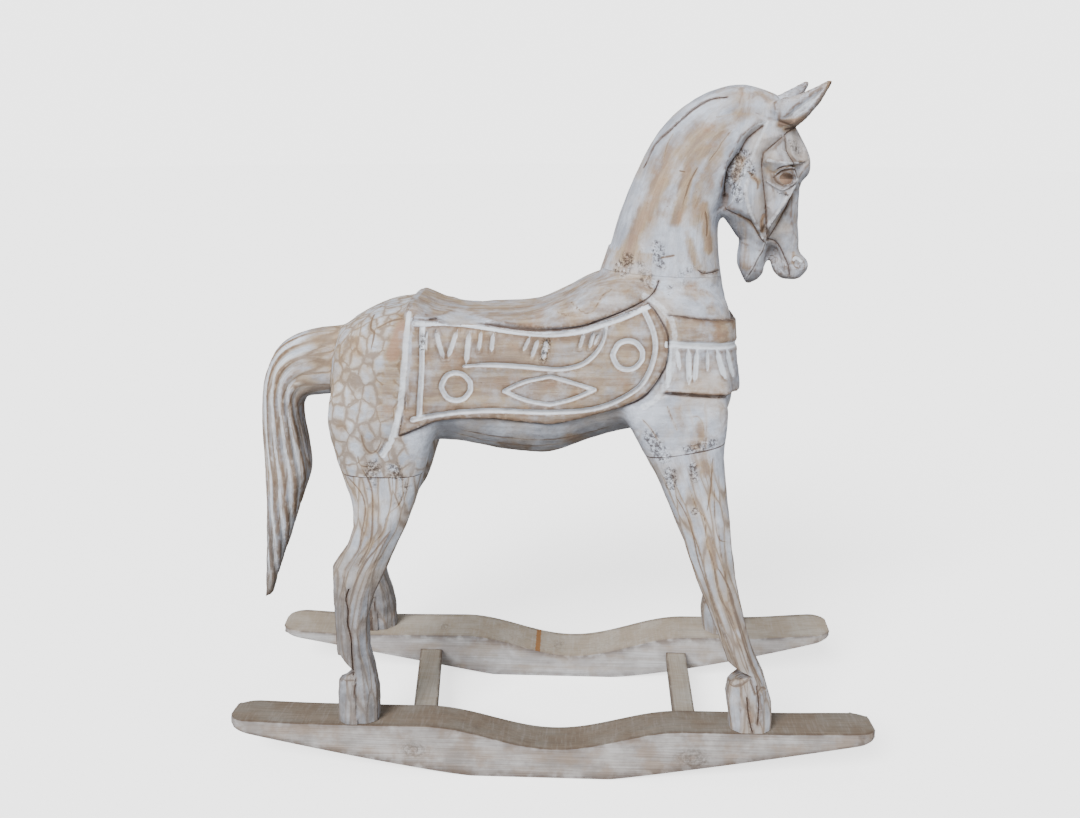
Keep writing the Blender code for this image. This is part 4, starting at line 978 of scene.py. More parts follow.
def carveLegs(surface):
    for form, low, high in ((hindLeg, -0.3, -0.1), (foreLeg, 0.08, 0.3)):
        x, y, z = surface.place.T
        chosen = np.flatnonzero((z < stance["facetsBelow"]) & (x > low) & (x < high) & (np.abs(y) > 0.03))
        cutFacets(surface, form, chosen)
        x = surface.place[:, 0]
        lipX, lipZ = zip(*form["notch"][::-1])
        # the cut dips towards the inside of the leg
        level = z + 0.26 * np.clip(0.127 - np.abs(y), 0.0, 0.04)
        edge = np.interp(level, lipZ, lipX) - form["setBack"] * (y > 0.0)
        inside = (level > lipZ[0]) & (level < lipZ[-1]) & (x > low) & (x < high)
        surface.place[:, 0] = np.where(inside & (x < edge), edge, x)
        deep = inside & (x < edge + 0.001) & (level > lipZ[1] - 0.001)
        # painted shade in the corner of the notch above the heel
        surface.mark("darkLine", 0.8 * smoothStep(1.0 - np.abs(level - lipZ[1] - 0.001) / 0.0022) * deep)
    surface.x = x + legSetBack(hindLeg, y, z) * (x < 0.0) + legSetBack(foreLeg, y, z) * (x > 0.0)
    outside = (z < 0.42) & (surface.sideways > 0.25) & (np.abs(y) > 0.05)
    surface.colourAll(legMarks, ("bareWood", "brownVein", "chippedFiller"), outside)
    for points, half, depth in legMarks["cracks"]:
        surface.gouge(points, half, depth, outside, paint=0.0, line=1.0)
    surface.x = surface.place[:, 0]


# how strongly brown veins part the wash: most on the rump and legs, hardly on blanket and seat
dapple = {"flank": 0.34, "rump": 0.46, "legs": 0.76, "head": 0.34, "blanket": 0.25, "onBareWood": 0.5}


def setDapple(surface):
    x, y, z = surface.x, surface.y, surface.z
    amount = dapple["flank"] + dapple["rump"] * smoothStep((-0.15 - x) / 0.012)
    amount = amount + (dapple["legs"] - amount) * smoothStep((0.385 - z) / 0.05)
    amount = np.where((z > 0.565) & (x > 0.0), dapple["head"], amount)
    amount = np.where(surface.marks["bareWood"] > 0.7, amount * dapple["onBareWood"], amount)
    inBlanket = (np.abs(y) > 0.045) & (z > 0.41) & (z < 0.525) & (x > -0.155) & (x < 0.118)
    surface.marks["dappled"] = np.where(inBlanket, dapple["blanket"], amount)


# grey towards the bottom of the legs, most on the hind legs, and on the thighs; painted shade on whatever
# faces the floor
grime = {"hindLegs": 1.15, "foreLegs": 0.5, "thighs": 0.34, "underneath": 0.75}


def setPaintedShadeAndDirt(surface):
    x, z = surface.x, surface.z
    amount = smoothStep((0.34 - z) / 0.16) * np.where(x < 0.0, grime["hindLegs"], grime["foreLegs"])
    thigh = grime["thighs"] * smoothStep((-0.15 - x) / 0.02)
    amount += thigh * smoothStep((0.455 - z) / 0.06) * smoothStep((z - 0.335) / 0.03)
    # painted shade: whatever faces the floor is greyed
    under = smoothStep((-surface.normal[:, 2] - 0.05) / 0.55)
    surface.mark("grime", np.maximum(amount, under * grime["underneath"]))


def carveHorse(horse):
    surface = CarvedSurface(horse.data)
    carveLegs(surface)
    carveTail(surface)
    carveBlanket(surface)
    carveSaddle(surface)
    carveStrap(surface)
    carveHead(surface)
    onBody = (surface.z > 0.353) & (surface.z < 0.6) & (surface.sideways > 0.2) & (np.abs(surface.y) > 0.03)
    surface.colourAll(bodyMarks, ("bareWood", "brownVein", "chippedFiller"), onBody)
    setDapple(surface)
    setPaintedShadeAndDirt(surface)
    surface.roughen()
    surface.finish(horse.data)
    print("horse carved")
    return surface


# how sharp a bend, per metre, starts to be rubbed on a ridge and to be darkened in a crease, partly dirt and
# partly painted shade, and how fast that grows
wear = {"ridgeFrom": 45.0, "ridgeOver": 190.0, "creaseFrom": 50.0, "creaseOver": 260.0, "spread": 3}


def shapeWear(mesh):
    # how sharply each point stands out (above nought) or lies in a crease (below), per metre
    count = len(mesh.vertices)
    edges = np.empty(len(mesh.edges) * 2, dtype=np.int32)
    mesh.edges.foreach_get("vertices", edges)
    first, second = edges.reshape(-1, 2).T
    place, normal = pointVectors(mesh, "co"), pointVectors(mesh, "normal")
    touching = np.maximum(np.bincount(first, minlength=count) + np.bincount(second, minlength=count), 1)

    def gather(toFirst, toSecond):
        return (np.bincount(first, toFirst, count) + np.bincount(second, toSecond, count)) / touching

    def average(values):
        return gather(values[second], values[first])

    middle = np.stack([average(place[:, axis]) for axis in range(3)], axis=1)
    length = np.linalg.norm(place[first] - place[second], axis=1)
    length = gather(length, length)
    bend = np.sum((place - middle) * normal, axis=1) * 4.0 / np.maximum(length, 1e-5) ** 2
    for _ in range(wear["spread"]):
        bend = bend * 0.4 + average(bend) * 0.6
    return bend


def storeMarks(mesh, marks):
    for name, values in marks.items():
        mesh.attributes.new(name, "FLOAT", "POINT").data.foreach_set("value", values.astype(np.float32))


def storeFlow(mesh, kind):
    # coordinates that run with the piece: across it, sideways, and along it
    x, y, z = pointVectors(mesh, "co").T
    if kind == "tail":
        along, across, half, _ = stationPlace(x, z, tail)
        flow = np.stack([across * half, y, along], axis=1)
    elif kind == "head_and_neck":
        along, across, half, _ = stationPlace(x, z, neck)
        flow = np.stack([across * half, y, along], axis=1)
        # the face carries on from the poll, downwards
        onFace = np.stack([(0.235 - x) * 0.7, y, 0.3 + 0.77 - z], axis=1)
        flow += (onFace - flow) * smoothStep((x - 0.19) / 0.03)[:, None]
    elif kind == "body":
        flow = np.stack([y, z, x], axis=1)
    else:
        form = hindLeg if kind == "hind_leg" else foreLeg
        table = formTable(form)[::-1]
        side = np.sign(y)
        middle = np.interp(z, (table[:, 1] + table[:, 3]) / 2, (table[:, 0] + table[:, 2]) / 2)
        middle -= legSetBack(form, side, z)
        flow = np.stack([x - middle, y - legMiddle(side, z), z], axis=1)
    stored = mesh.attributes.new("flow", "FLOAT_VECTOR", "POINT")
    stored.data.foreach_set("vector", flow.astype(np.float32).ravel())


def horseBlocks():
    # each block's cuts and whether it lies on their outer side, a place near its middle, and a box round it
    blocks = {
        "body": {"cuts": (("neck", False), ("tail", False), ("hind", False), ("fore", False)),
                 "near": (0.0, 0.0, 0.45), "box": ((-0.3, -0.2, 0.33), (0.3, 0.2, 0.62))},
        "head_and_neck": {"cuts": (("neck", True),), "near": (0.18, 0.0, 0.68),
                          "box": ((0.0, -0.2, 0.54), (0.4, 0.2, 0.9))},
        "tail": {"cuts": (("tail", True),), "near": (-0.32, 0.0, 0.4),
                 "box": ((-0.5, -0.2, 0.1), (-0.23, 0.2, 0.55))},
    }
    for side, word in ((-1, "right"), (1, "left")):
        right, left = min(side * 0.2, 0.0), max(side * 0.2, 0.0)
        for end, x, rear, front, top in (("hind", -0.22, -0.3, 0.0, 0.37), ("fore", 0.18, 0.0, 0.3, 0.41)):
            blocks[end + "_leg_" + word] = {"cuts": ((end, True), ("top_" + word, True)),
                                            "near": (x, legMiddle(side, 0.2), 0.22),
                                            "box": ((rear, right, 0.0), (front, left, top))}
    return blocks


def cutBlock(bm, plane, keepOuter):
    point, direction = plane[0], plane[1].normalized()
    half = joints["gap"] / 2
    point = point + direction * (half if keepOuter else -half)
    muzzle = {v for v in bm.verts if v.co.x > joints["muzzleBack"] and v.co.z > joints["muzzleLow"]}
    geometry = [v for v in bm.verts if v not in muzzle]
    geometry += [item for item in bm.edges[:] + bm.faces[:] if not muzzle.issuperset(item.verts)]
    made = bmesh.ops.bisect_plane(bm, geom=geometry, plane_co=point, plane_no=direction,
                                  clear_outer=not keepOuter, clear_inner=keepOuter)
    # slivers beside the cut would catch the light
    rim = [item for item in made["geom_cut"] if isinstance(item, bmesh.types.BMVert)]
    bmesh.ops.remove_doubles(bm, verts=rim, dist=0.0005)
    bmesh.ops.holes_fill(bm, edges=[edge for edge in bm.edges if edge.is_boundary])


def keepIsland(bm, near):
    # drop every separate scrap but the one whose middle is nearest
    unseen = set(bm.verts)
    islands = []
    while unseen:
        stack = [unseen.pop()]
        island = set(stack)
        while stack:
            for edge in stack.pop().link_edges:
                for vert in edge.verts:
                    if vert in unseen:
                        unseen.remove(vert)
                        island.add(vert)
                        stack.append(vert)
        islands.append(island)

    def distance(island):
        middle = sum((vert.co for vert in island), Vector()) / len(island)
        return (middle - near).length + (10.0 if len(island) < 200 else 0.0)

    kept = min(islands, key=distance)
    bmesh.ops.delete(bm, geom=[v for v in bm.verts if v not in kept], context="VERTS")


def newPiece(bm, name, node, material, sharpAngle):
    mesh = bpy.data.meshes.new(name)
    bm.to_mesh(mesh)
    bm.free()
    mesh.shade_smooth()
    mesh.set_sharp_from_angle(angle=math.radians(sharpAngle))
    mesh.materials.append(material)
    piece = bpy.data.objects.new(name, mesh)
    bpy.context.scene.collection.objects.link(piece)
    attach(piece, "root")
    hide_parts(node)
    return piece


def makeHorse(finishes):
    horse = makeSkin()
    surface = carveHorse(horse)
    bend = shapeWear(horse.data)
    surface.mark("wornRidgeAndRimShade", smoothStep((bend - wear["ridgeFrom"]) / wear["ridgeOver"]))
    # dirt and painted shade in the creases
    surface.marks["creaseDirtAndShade"] = smoothStep((-bend - wear["creaseFrom"]) / wear["creaseOver"])
    storeMarks(horse.data, surface.marks)
    planes = dict(joints)
    for which in boards.values():
        planes["top_" + which["word"]] = boardTop(which)
    for name, block in horseBlocks().items():
        bm = bmesh.new()
        bm.from_mesh(horse.data)
        low, high = block["box"]
        outside = [v for v in bm.verts if not all(low[i] < v.co[i] < high[i] for i in range(3))]
        bmesh.ops.delete(bm, geom=outside, context="VERTS")
        for plane, keepOuter in block["cuts"]:
            cutBlock(bm, planes[plane], keepOuter)
        keepIsland(bm, Vector(block["near"]))
        kind = name.replace("_right", "").replace("_left", "")
        piece = newPiece(bm, "carved_" + name, name, finishes[kind], skin["sharpAngle"])
        storeFlow(piece.data, kind)
        print(name, "cut out,", len(piece.data.polygons), "faces")
    bpy.data.objects.remove(horse)


# top at the middle and its slope along X, the hollow in it, how far its ends rise, where the underside is
# flat, how much each end falls short, how full the underside bends towards each end, the knots' centres
# and sizes, and where along X a band of old varnish lies
boards = {
    "rocker_right": {"word": "right", "side": -1, "height": 0.059, "slope": 0.004, "dip": 0.025,
                     "dipX": 0.008, "rise": 0.002, "flatX": -0.01, "rearEnd": 0.0, "frontEnd": -0.0022,
                     "bend": (1.22, 1.1), "band": None,
                     "knots": (((-0.156, -0.135, 0.031), 0.0075), ((0.168, -0.135, 0.03), 0.0085))},
    "rocker_left": {"word": "left", "side": 1, "height": 0.0662, "slope": 0.0145, "dip": 0.0305,
                    "dipX": 0.028, "rise": 0.006, "flatX": 0.0, "rearEnd": 0.0045, "frontEnd": 0.003,
                    "bend": (1.08, 1.32), "band": (-0.0225, -0.015),
                    "knots": (((-0.149, 0.1, 0.062), 0.004), ((0.01, 0.1, 0.04), 0.005))},
}
board = {
    "length": 0.75,
    "spacing": 0.22,          # between the boards' middles, on the floor
    "thickness": 0.053,
    "dipHalf": 0.152,         # half the length of the hollow in the top
    "flatHalf": 0.08,         # and of the flat that stands on the floor
    "tip": 0.009,             # how thick the ends are left
    "riseFrom": 0.262,        # the top rises from here to the ends
    "lean": 0.09,             # radians, inwards
    # rounded ends: how far they reach, what share of the width is left at the tip, and how full they are
    "rearRound": (0.026, 0.3, 2.0),
    "frontRound": (0.019, 0.52, 1.5),
    "edgeRound": 0.001,
    "wobble": 0.00035,        # left by the saw and the hand plane
    "sharpAngle": 50.0,
}
slats = {
    "crossbar_front": {"ends": (0.1642, 0.1667), "width": 0.0262, "thickness": 0.013, "top": 0.0432,
                       "edgeRound": 0.0009},
    "crossbar_rear": {"ends": (-0.1505, -0.1656), "width": 0.0292, "thickness": 0.013, "top": 0.04,
                      "edgeRound": 0.0009},
}


def boardMiddle(side, z):
    return side * (board["spacing"] / 2 - z * math.tan(board["lean"]))


def boardTop(which):
    # the plane of a board's top face, on which the hooves stand
    side, height = which["side"], which["height"]
    point = Vector((0.0, boardMiddle(side, height), height + joints["gap"] / 2))
    return point, Vector((-which["slope"], -side * math.tan(board["lean"]), 1.0))


def boardProfile(which, x):
    # underside and top of a board at x
    end = board["length"] / 2
    fromFlat = abs(x - which["flatX"] * (1.0 - abs(x) / end))
    past = max(fromFlat - board["flatHalf"], 0.0) / (end - board["flatHalf"])
    tip = which["height"] + which["rise"] + which["slope"] * x
    dip = 0.5 + 0.5 * math.cos(math.pi * min(abs(x - which["dipX"]) / board["dipHalf"], 1.0))
    top = which["height"] + which["slope"] * x - which["dip"] * dip
    top += which["rise"] * float(smoothStep((abs(x) - board["riseFrom"]) / (end - board["riseFrom"])))
    return (tip - board["tip"]) * past ** which["bend"][int(x > 0.0)], top


def boardHalfWidth(x, short):
    # both ends are rounded by hand, the front one less
    half = board["thickness"] / 2
    toEnd = board["length"] / 2 - short - abs(x)
    size, floor, bend = board["rearRound"] if x < 0.0 else board["frontRound"]
    if toEnd >= size:
        return half
    back = min((size - toEnd) / size, 1.0)
    return half * (floor + (1.0 - floor) * (1.0 - back**bend) ** (1.0 / bend))


def plankBlank(*cuts):
    # a cube with its axes cut up, and the edges to round
    bm = bmesh.new()
    bmesh.ops.create_cube(bm, size=2.0)
    for axis, count in cuts:
        along = [e for e in bm.edges if abs((e.verts[0].co - e.verts[1].co)[axis]) > 1.0]
        bmesh.ops.subdivide_edges(bm, edges=along, cuts=count, use_grid_fill=True)
    bm.normal_update()
    faceAxis = {face: round(abs(face.normal.x)) + 2 * round(abs(face.normal.y)) for face in bm.faces}
    return bm, [e for e in bm.edges if len({faceAxis[face] for face in e.link_faces}) > 1]


def roundPlank(bm, rims, size, segments):
    # round the edges over and note how sharp each point still is
    bmesh.ops.bevel(bm, geom=rims, offset=size, offset_type="OFFSET", segments=segments, profile=0.5,
                    affect="EDGES", material=-1)
    bmesh.ops.recalc_face_normals(bm, faces=bm.faces)
    worn = bm.verts.layers.float.new("wornRidgeAndRimShade")
    for vert in bm.verts:
        vert[worn] = min(max(edge.calc_face_angle(0.0) for edge in vert.link_edges) * 3.0, 1.0)


def makeBoard(name, finish):
    which = boards[name]
    side, end = which["side"], board["length"] / 2
    bm, rims = plankBlank((0, 219), (1, 7), (2, 3))
    for vert in bm.verts:
        short = which["frontEnd"] if vert.co.x > 0.0 else which["rearEnd"]
        x = math.copysign(1.0 - (1.0 - abs(vert.co.x)) ** 1.15, vert.co.x) * (end - short)
        low, high = boardProfile(which, x)
        across = vert.co.y * boardHalfWidth(x, short)
        topZ = high + side * across * math.tan(board["lean"])
        z = low + (topZ - low) * (vert.co.z + 1.0) / 2
        vert.co = (x, boardMiddle(side, z) + across, z)
    roundPlank(bm, rims, board["edgeRound"], 3)
    bm.normal_update()
    for vert in bm.verts:
        spot = Vector((vert.co.x * 14.0, vert.co.y * 30.0, vert.co.z * 24.0)) + Vector((side * 7.0, 0, 0))
        sway = noise.noise(spot)
        inner = min((end - abs(vert.co.x)) / 0.01, 1.0, vert.co.z / 0.008)
        vert.co -= vert.normal * board["wobble"] * (0.6 + 0.4 * sway) * max(inner, 0.0)
    newPiece(bm, "sawn_" + name, name, finish, board["sharpAngle"])
    print(name, "sawn")


def makeSlat(name, finish):
    slat = slats[name]
    bm, rims = plankBlank((1, 40), (0, 7))
    for vert in bm.verts:
        z = slat["top"] + (vert.co.z - 1.0) * slat["thickness"] / 2
        inner = boardMiddle(1, z) - board["thickness"] / 2 - joints["gap"]
        place = (vert.co.y + 1.0) / 2
        middle = slat["ends"][0] + (slat["ends"][1] - slat["ends"][0]) * place
        vert.co = (middle + vert.co.x * slat["width"] / 2, vert.co.y * inner, z)
    roundPlank(bm, rims, slat["edgeRound"], 2)
    newPiece(bm, "sawn_" + name, name, finish, board["sharpAngle"])
    print(name, "sawn")


def paints(**screenColours):
    # mixed paints, given as screen colours from 0 to 255, as light
    return {name: (*(((value / 255 + 0.055) / 1.055) ** 2.4 for value in colour), 1.0)
            for name, colour in screenColours.items()}


def addNode(tree, kind, inputs=None, **settings):
    # inputs are numbers, colours or another node's output
    made = tree.nodes.new("ShaderNode" + kind)
    for name, value in settings.items():
        setattr(made, name, value)
    for key, value in (inputs or {}).items():
        if isinstance(value, bpy.types.NodeSocket):
            tree.links.new(value, made.inputs[key])
        else:
            made.inputs[key].default_value = value
    return made


def calc(tree, operation, first, second=0.0):
    return addNode(tree, "Math", {0: first, 1: second}, operation=operation).outputs[0]


def rise(tree, value, low, high, toLow=0.0, toHigh=1.0):
    # smooth change of a value from toLow to toHigh as it passes from low to high
    inputs = {"Value": value, "From Min": low, "From Max": high, "To Min": toLow, "To Max": toHigh}
    return addNode(tree, "MapRange", inputs, interpolation_type="SMOOTHSTEP").outputs["Result"]


def mixColour(tree, share, first, second):
    return addNode(tree, "Mix", {0: share, 6: first, 7: second}, data_type="RGBA").outputs[2]


def noiseValue(tree, vector, scale, detail=2.0, roughness=0.5):
    inputs = {"Vector": vector, "Scale": scale, "Detail": detail, "Roughness": roughness}
    return addNode(tree, "TexNoise", inputs).outputs["Fac"]


def newGroup(name, inputs, outputs):
    group = bpy.data.node_groups.new(name, "ShaderNodeTree")
    for label, kind, value in inputs:
        socket = group.interface.new_socket(label, in_out="INPUT", socket_type="NodeSocket" + kind)
        if value is not None:
            socket.default_value = value
    for label, kind in outputs:
        group.interface.new_socket(label, in_out="OUTPUT", socket_type="NodeSocket" + kind)
    return group, group.nodes.new("NodeGroupInput").outputs, group.nodes.new("NodeGroupOutput").inputs


def placeGroup(tree, group, inputs):
    return addNode(tree, "Group", inputs, node_tree=group).outputs


def vectorMath(tree, operation, first, second=(0.0, 0.0, 0.0)):
    return addNode(tree, "VectorMath", {0: first, 1: second}, operation=operation).outputs


def newMaterial(name):
    material = bpy.data.materials.new(name)
    material.use_nodes = True
    return material, material.node_tree, material.node_tree.nodes["Principled BSDF"].inputs


def finishInputs(tree, inputs, colour, roughness, height, shine):
    # what both finishes feed
    tree.links.new(colour, inputs["Base Color"])
    tree.links.new(roughness, inputs["Roughness"])
    bump = addNode(tree, "Bump", {"Height": height, "Strength": 1.0, "Distance": 1.0})
    tree.links.new(bump.outputs["Normal"], inputs["Normal"])
    inputs["Specular IOR Level"].default_value = shine


def shortcuts(tree):
    # ramp, noise, multiply, add and mix colours in one tree
    return (partial(rise, tree), partial(noiseValue, tree), partial(calc, tree, "MULTIPLY"),
            partial(calc, tree, "ADD"), partial(mixColour, tree))


def veinNetGroup():
    # brown lines left where the wash was rubbed off between islands of paint
    group, given, out = newGroup("veinNet", (
        ("Vector", "Vector", None), ("Width", "Float", 0.1), ("Wander", "Float", 0.45),
        ("Presence", "Float", 0.5)),
        (("Vein", "Float"), ("Halo", "Float"), ("Island", "Float")))
    ramp, noisy, times, plus = shortcuts(group)[:4]
    bends = addNode(group, "TexNoise", {"Vector": given["Vector"], "Scale": 0.9, "Detail": 3.0})
    offset = vectorMath(group, "SUBTRACT", bends.outputs["Color"], (0.5, 0.5, 0.5))[0]
    shift = addNode(group, "VectorMath", {0: offset, 3: given["Wander"]}, operation="SCALE").outputs[0]
    place = vectorMath(group, "ADD", given["Vector"], shift)[0]
    cells = {"Vector": place, "Scale": 1.0, "Randomness": 1.0}
    toEdge = addNode(group, "TexVoronoi", cells, feature="DISTANCE_TO_EDGE").outputs["Distance"]
    tint = addNode(group, "TexVoronoi", cells, feature="F1")
    width = times(given["Width"], ramp(noisy(place, 1.7), 0.3, 0.7, 0.35, 1.6))
    shown = ramp(plus(noisy(given["Vector"], 0.55), given["Presence"]), 0.8, 1.1)
    widths = calc(group, "DIVIDE", toEdge, width)
    line = ramp(widths, 1.0, 0.15)
    corner = ramp(tint.outputs["Distance"], 0.5, 0.85, 0.0, 0.9)
    halo = calc(group, "MAXIMUM", ramp(widths, 2.6, 0.3), corner)
    group.links.new(times(line, shown), out["Vein"])
    group.links.new(times(halo, shown), out["Halo"])
    group.links.new(addNode(group, "SeparateColor", {0: tint.outputs["Color"]}).outputs[0], out["Island"])
    return group


def woodGrainGroup():
    # fine lines and broad streaks; the vector's last axis runs along the wood
    group, given, out = newGroup("woodGrain", (
        ("Vector", "Vector", None), ("Fineness", "Float", 900.0), ("Length", "Float", 0.03)),
        (("Fine", "Float"), ("Streak", "Float")))
    ramp, noisy, times = shortcuts(group)[:3]
    stretch = addNode(group, "CombineXYZ", {0: 1.0, 1: 1.0, 2: given["Length"]}).outputs[0]
    along = vectorMath(group, "MULTIPLY", given["Vector"], stretch)[0]
    fine = noisy(along, given["Fineness"], 3.0, 0.65)
    broad = noisy(along, times(given["Fineness"], 0.16), 3.0, 0.55)
    group.links.new(ramp(fine, 0.38, 0.66), out["Fine"])
    group.links.new(ramp(broad, 0.32, 0.68), out["Streak"])
    return group


def chippedGroup():
    # coarse filler that has crumbled: pits, dark specks and bright crumbs
    group, given, out = newGroup("chipped", (
        ("Vector", "Vector", None), ("Amount", "Float", 0.0)),
        (("Speck", "Float"), ("Crumb", "Float"), ("Height", "Float")))
    ramp, noisy, times, plus = shortcuts(group)[:4]
    ragged = noisy(given["Vector"], 85.0, 5.0, 0.7)
    area = ramp(plus(given["Amount"], times(ragged, 1.7)), 1.1, 1.6)
    pits = addNode(group, "TexVoronoi", {"Vector": given["Vector"], "Scale": 430.0, "Randomness": 1.0},
                   feature="F1")
    rough = noisy(given["Vector"], 250.0, 5.0, 0.75)
    speck = times(ramp(rough, 0.48, 0.56), area)
    crumb = times(ramp(rough, 0.44, 0.36), area)
    group.links.new(speck, out["Speck"])
    group.links.new(crumb, out["Crumb"])
    height = times(calc(group, "SUBTRACT", pits.outputs["Distance"], rough), area)
    group.links.new(height, out["Height"])
    return group


palette = paints(
    wash=(203, 211, 226),
    washShade=(143, 149, 162),
    thickPaint=(234, 241, 250),
    woodPale=(180, 156, 122),
    woodDeep=(136, 110, 84),
    woodRed=(158, 112, 74),
    vein=(112, 90, 72),
    dark=(70, 56, 49),
    speck=(62, 52, 47),
    # grey of dirt and of painted shade
    grime=(100, 97, 97),
)
gloss = {"carved": 0.25, "sawn": 0.22}
# the carved finish's inputs, and what is stored on the surface for each
markInputs = {"Paint": "whitePaintAndHighlight", "Line": "darkLine", "Bare": "bareWood", "Vein": "brownVein",
              "Filler": "chippedFiller", "Ridge": "wornRidgeAndRimShade", "CreaseDirtAndShade": "creaseDirtAndShade", "Dappled": "dappled",
              "PaintedShadeAndDirt": "grime"}


def rubbedWashGroup(veinNet, woodGrain, chipped):
    tree, given, out = newGroup("rubbedWash", (
        *((label, "Vector", None) for label in ("Flow", "Place", "Net")),
        *((label, "Float", 0.0) for label in markInputs),
        ("Net width", "Float", 0.1), ("Rubbed", "Float", 0.3), ("Grain", "Float", 0.5)),
        (("Color", "Color"), ("Roughness", "Float"), ("Height", "Float")))
    ramp, noisy, times, plus, mix = shortcuts(tree)

    def broken(mark, scale, amount, low, high, top=1.0):
        # a mark whose edge wanders and breaks up
        uneven = times(calc(tree, "SUBTRACT", noisy(given["Place"], scale, 4.0, 0.6), 0.5), amount)
        return ramp(plus(mark, times(uneven, ramp(mark, 0.0, 0.3))), low, high, 0.0, top)

    grain = placeGroup(tree, woodGrain, {"Vector": given["Flow"], "Fineness": 700.0, "Length": 0.06})
    brush = placeGroup(tree, woodGrain, {"Vector": given["Flow"], "Fineness": 1150.0, "Length": 0.13})
    net = placeGroup(tree, veinNet, {"Vector": given["Net"], "Width": given["Net width"],
                                     "Presence": given["Dappled"]})
    finer = vectorMath(tree, "MULTIPLY", given["Net"], (2.1, 2.1, 1.6))[0]
    crackle = placeGroup(tree, veinNet, {"Vector": finer, "Width": 0.05, "Wander": 0.7, "Presence": 0.36})
    chips = placeGroup(tree, chipped, {"Vector": given["Place"], "Amount": given["Filler"]})
    cloud = noisy(given["Place"], 30.0, 4.0, 0.62)
    smear = noisy(given["Net"], 0.7, 4.0, 0.6)

    # whitewash, cooler and thinner in places, brushed along the wood, each island its own strength
    thin = plus(times(ramp(cloud, 0.36, 0.66), 0.55), times(brush["Streak"], 0.42))
    colour = mix(thin, palette["wash"], palette["washShade"])
    stain = times(ramp(noisy(given["Place"], 17.0, 4.0, 0.62), 0.44, 0.66), 0.5)
    colour = mix(stain, colour, palette["woodPale"])
    island = times(times(net["Island"], given["Dappled"]), 0.42)
    colour = mix(island, colour, palette["thickPaint"])

    # wood that shows where it is rubbed bare
    rough = times(calc(tree, "SUBTRACT", smear, 0.5), 1.1)
    patchy = times(calc(tree, "SUBTRACT", noisy(given["Place"], 46.0, 4.0, 0.65), 0.5), 1.3)
    streaky = times(calc(tree, "SUBTRACT", grain["Streak"], 0.5), 0.22)
    bare = plus(plus(given["Bare"], given["Rubbed"]), plus(plus(rough, patchy), streaky))
    bare = ramp(bare, 0.22, 0.95)
    wood = mix(grain["Streak"], palette["woodPale"], palette["woodDeep"])
    ruddy = times(ramp(noisy(given["Place"], 34.0), 0.52, 0.75), 0.5)
    ruddy = calc(tree, "MAXIMUM", ruddy, ramp(given["Bare"], 0.72, 1.0, 0.0, 0.75))
    wood = mix(ruddy, wood, palette["woodRed"])
    colour = mix(times(bare, 0.84), colour, wood)

    # veins between the islands, in a soft tan halo, and a finer crackle
    halo = times(times(net["Halo"], given["Dappled"]), 0.72)
    colour = mix(halo, colour, palette["woodPale"])
    colour = mix(times(times(net["Vein"], given["Dappled"]), 0.72), colour, palette["vein"])
    colour = mix(times(times(crackle["Vein"], plus(given["Dappled"], 0.15)), 0.42), colour, palette["vein"])
    veined = broken(given["Vein"], 60.0, 0.75, 0.5, 0.86, 0.85)
    colour = mix(times(ramp(given["Vein"], 0.1, 0.75), 0.35), colour, palette["woodPale"])
    colour = mix(veined, colour, palette["vein"])

    # grain darkens the bare wood and just shows through the wash
    fine = times(times(grain["Fine"], given["Grain"]), ramp(bare, 0.0, 1.0, 0.1, 0.5))
    fine = calc(tree, "MAXIMUM", fine, times(brush["Fine"], 0.17))
    colour = mix(fine, colour, palette["vein"])

    # worn ridges and painted rim shade, dirt and painted shade, then thick paint in the cuts and painted
    # highlights
    # worn ridges, and painted shade along the grooves' rims
    ridgeWearAndRimShade = times(given["Ridge"], ramp(noisy(given["Place"], 130.0, 3.0), 0.28, 0.52))
    colour = mix(times(ridgeWearAndRimShade, 0.8), colour, palette["vein"])
    # grey dirt, and painted shade under the body, in the face's hollows, round the eyes and in the nostrils
    shadeAndDirtShare = times(given["PaintedShadeAndDirt"], ramp(cloud, 0.25, 0.65, 0.34, 0.74))
    colour = mix(shadeAndDirtShare, colour, palette["grime"])
    # thick white paint, and the painted highlight on the face's ridges
    paintAndHighlight = plus(broken(given["Paint"], 260.0, 0.22, 0.4, 0.56, 0.65),
                  broken(given["Paint"], 80.0, 0.4, 0.5, 0.8, 0.35))
    coat = mix(times(brush["Streak"], 0.28), palette["thickPaint"], palette["wash"])
    colour = mix(paintAndHighlight, colour, coat)
    # creases darkened brown: partly dirt, partly painted shade
    colour = mix(times(given["CreaseDirtAndShade"], 0.55), colour, palette["vein"])

    # dark carved lines, chipped filler, stray specks
    colour = mix(times(ramp(given["Line"], 0.05, 0.7), 0.3), colour, palette["vein"])
    dark = broken(given["Line"], 75.0, 0.6, 0.46, 0.86, 0.88)
    colour = mix(dark, colour, palette["dark"])
    colour = mix(times(chips["Crumb"], 0.45), colour, palette["thickPaint"])
    colour = mix(times(chips["Speck"], 0.8), colour, palette["speck"])
    stray = ramp(noisy(given["Place"], 330.0, 2.0, 0.6), 0.7, 0.76, 0.0, 0.55)
    colour = mix(stray, colour, palette["vein"])
    tree.links.new(colour, out["Color"])

    tree.links.new(ramp(bare, 0.0, 1.0, 0.62, 0.74), out["Roughness"])
    # brush drags in the wash, raised grain, sunken veins, thick paint, crumbled filler
    height = times(grain["Fine"], ramp(bare, 0.0, 1.0, -0.00005, -0.00014))
    uneven = noisy(given["Place"], 80.0, 5.0, 0.68)
    for shape, depth in ((brush["Streak"], -0.00012), (net["Vein"], -0.00022), (veined, -0.0004),
                         (paintAndHighlight, 0.00018), (uneven, 0.0015), (chips["Height"], 0.0009)):
        height = plus(height, times(shape, depth))
    tree.links.new(height, out["Height"])
    return tree


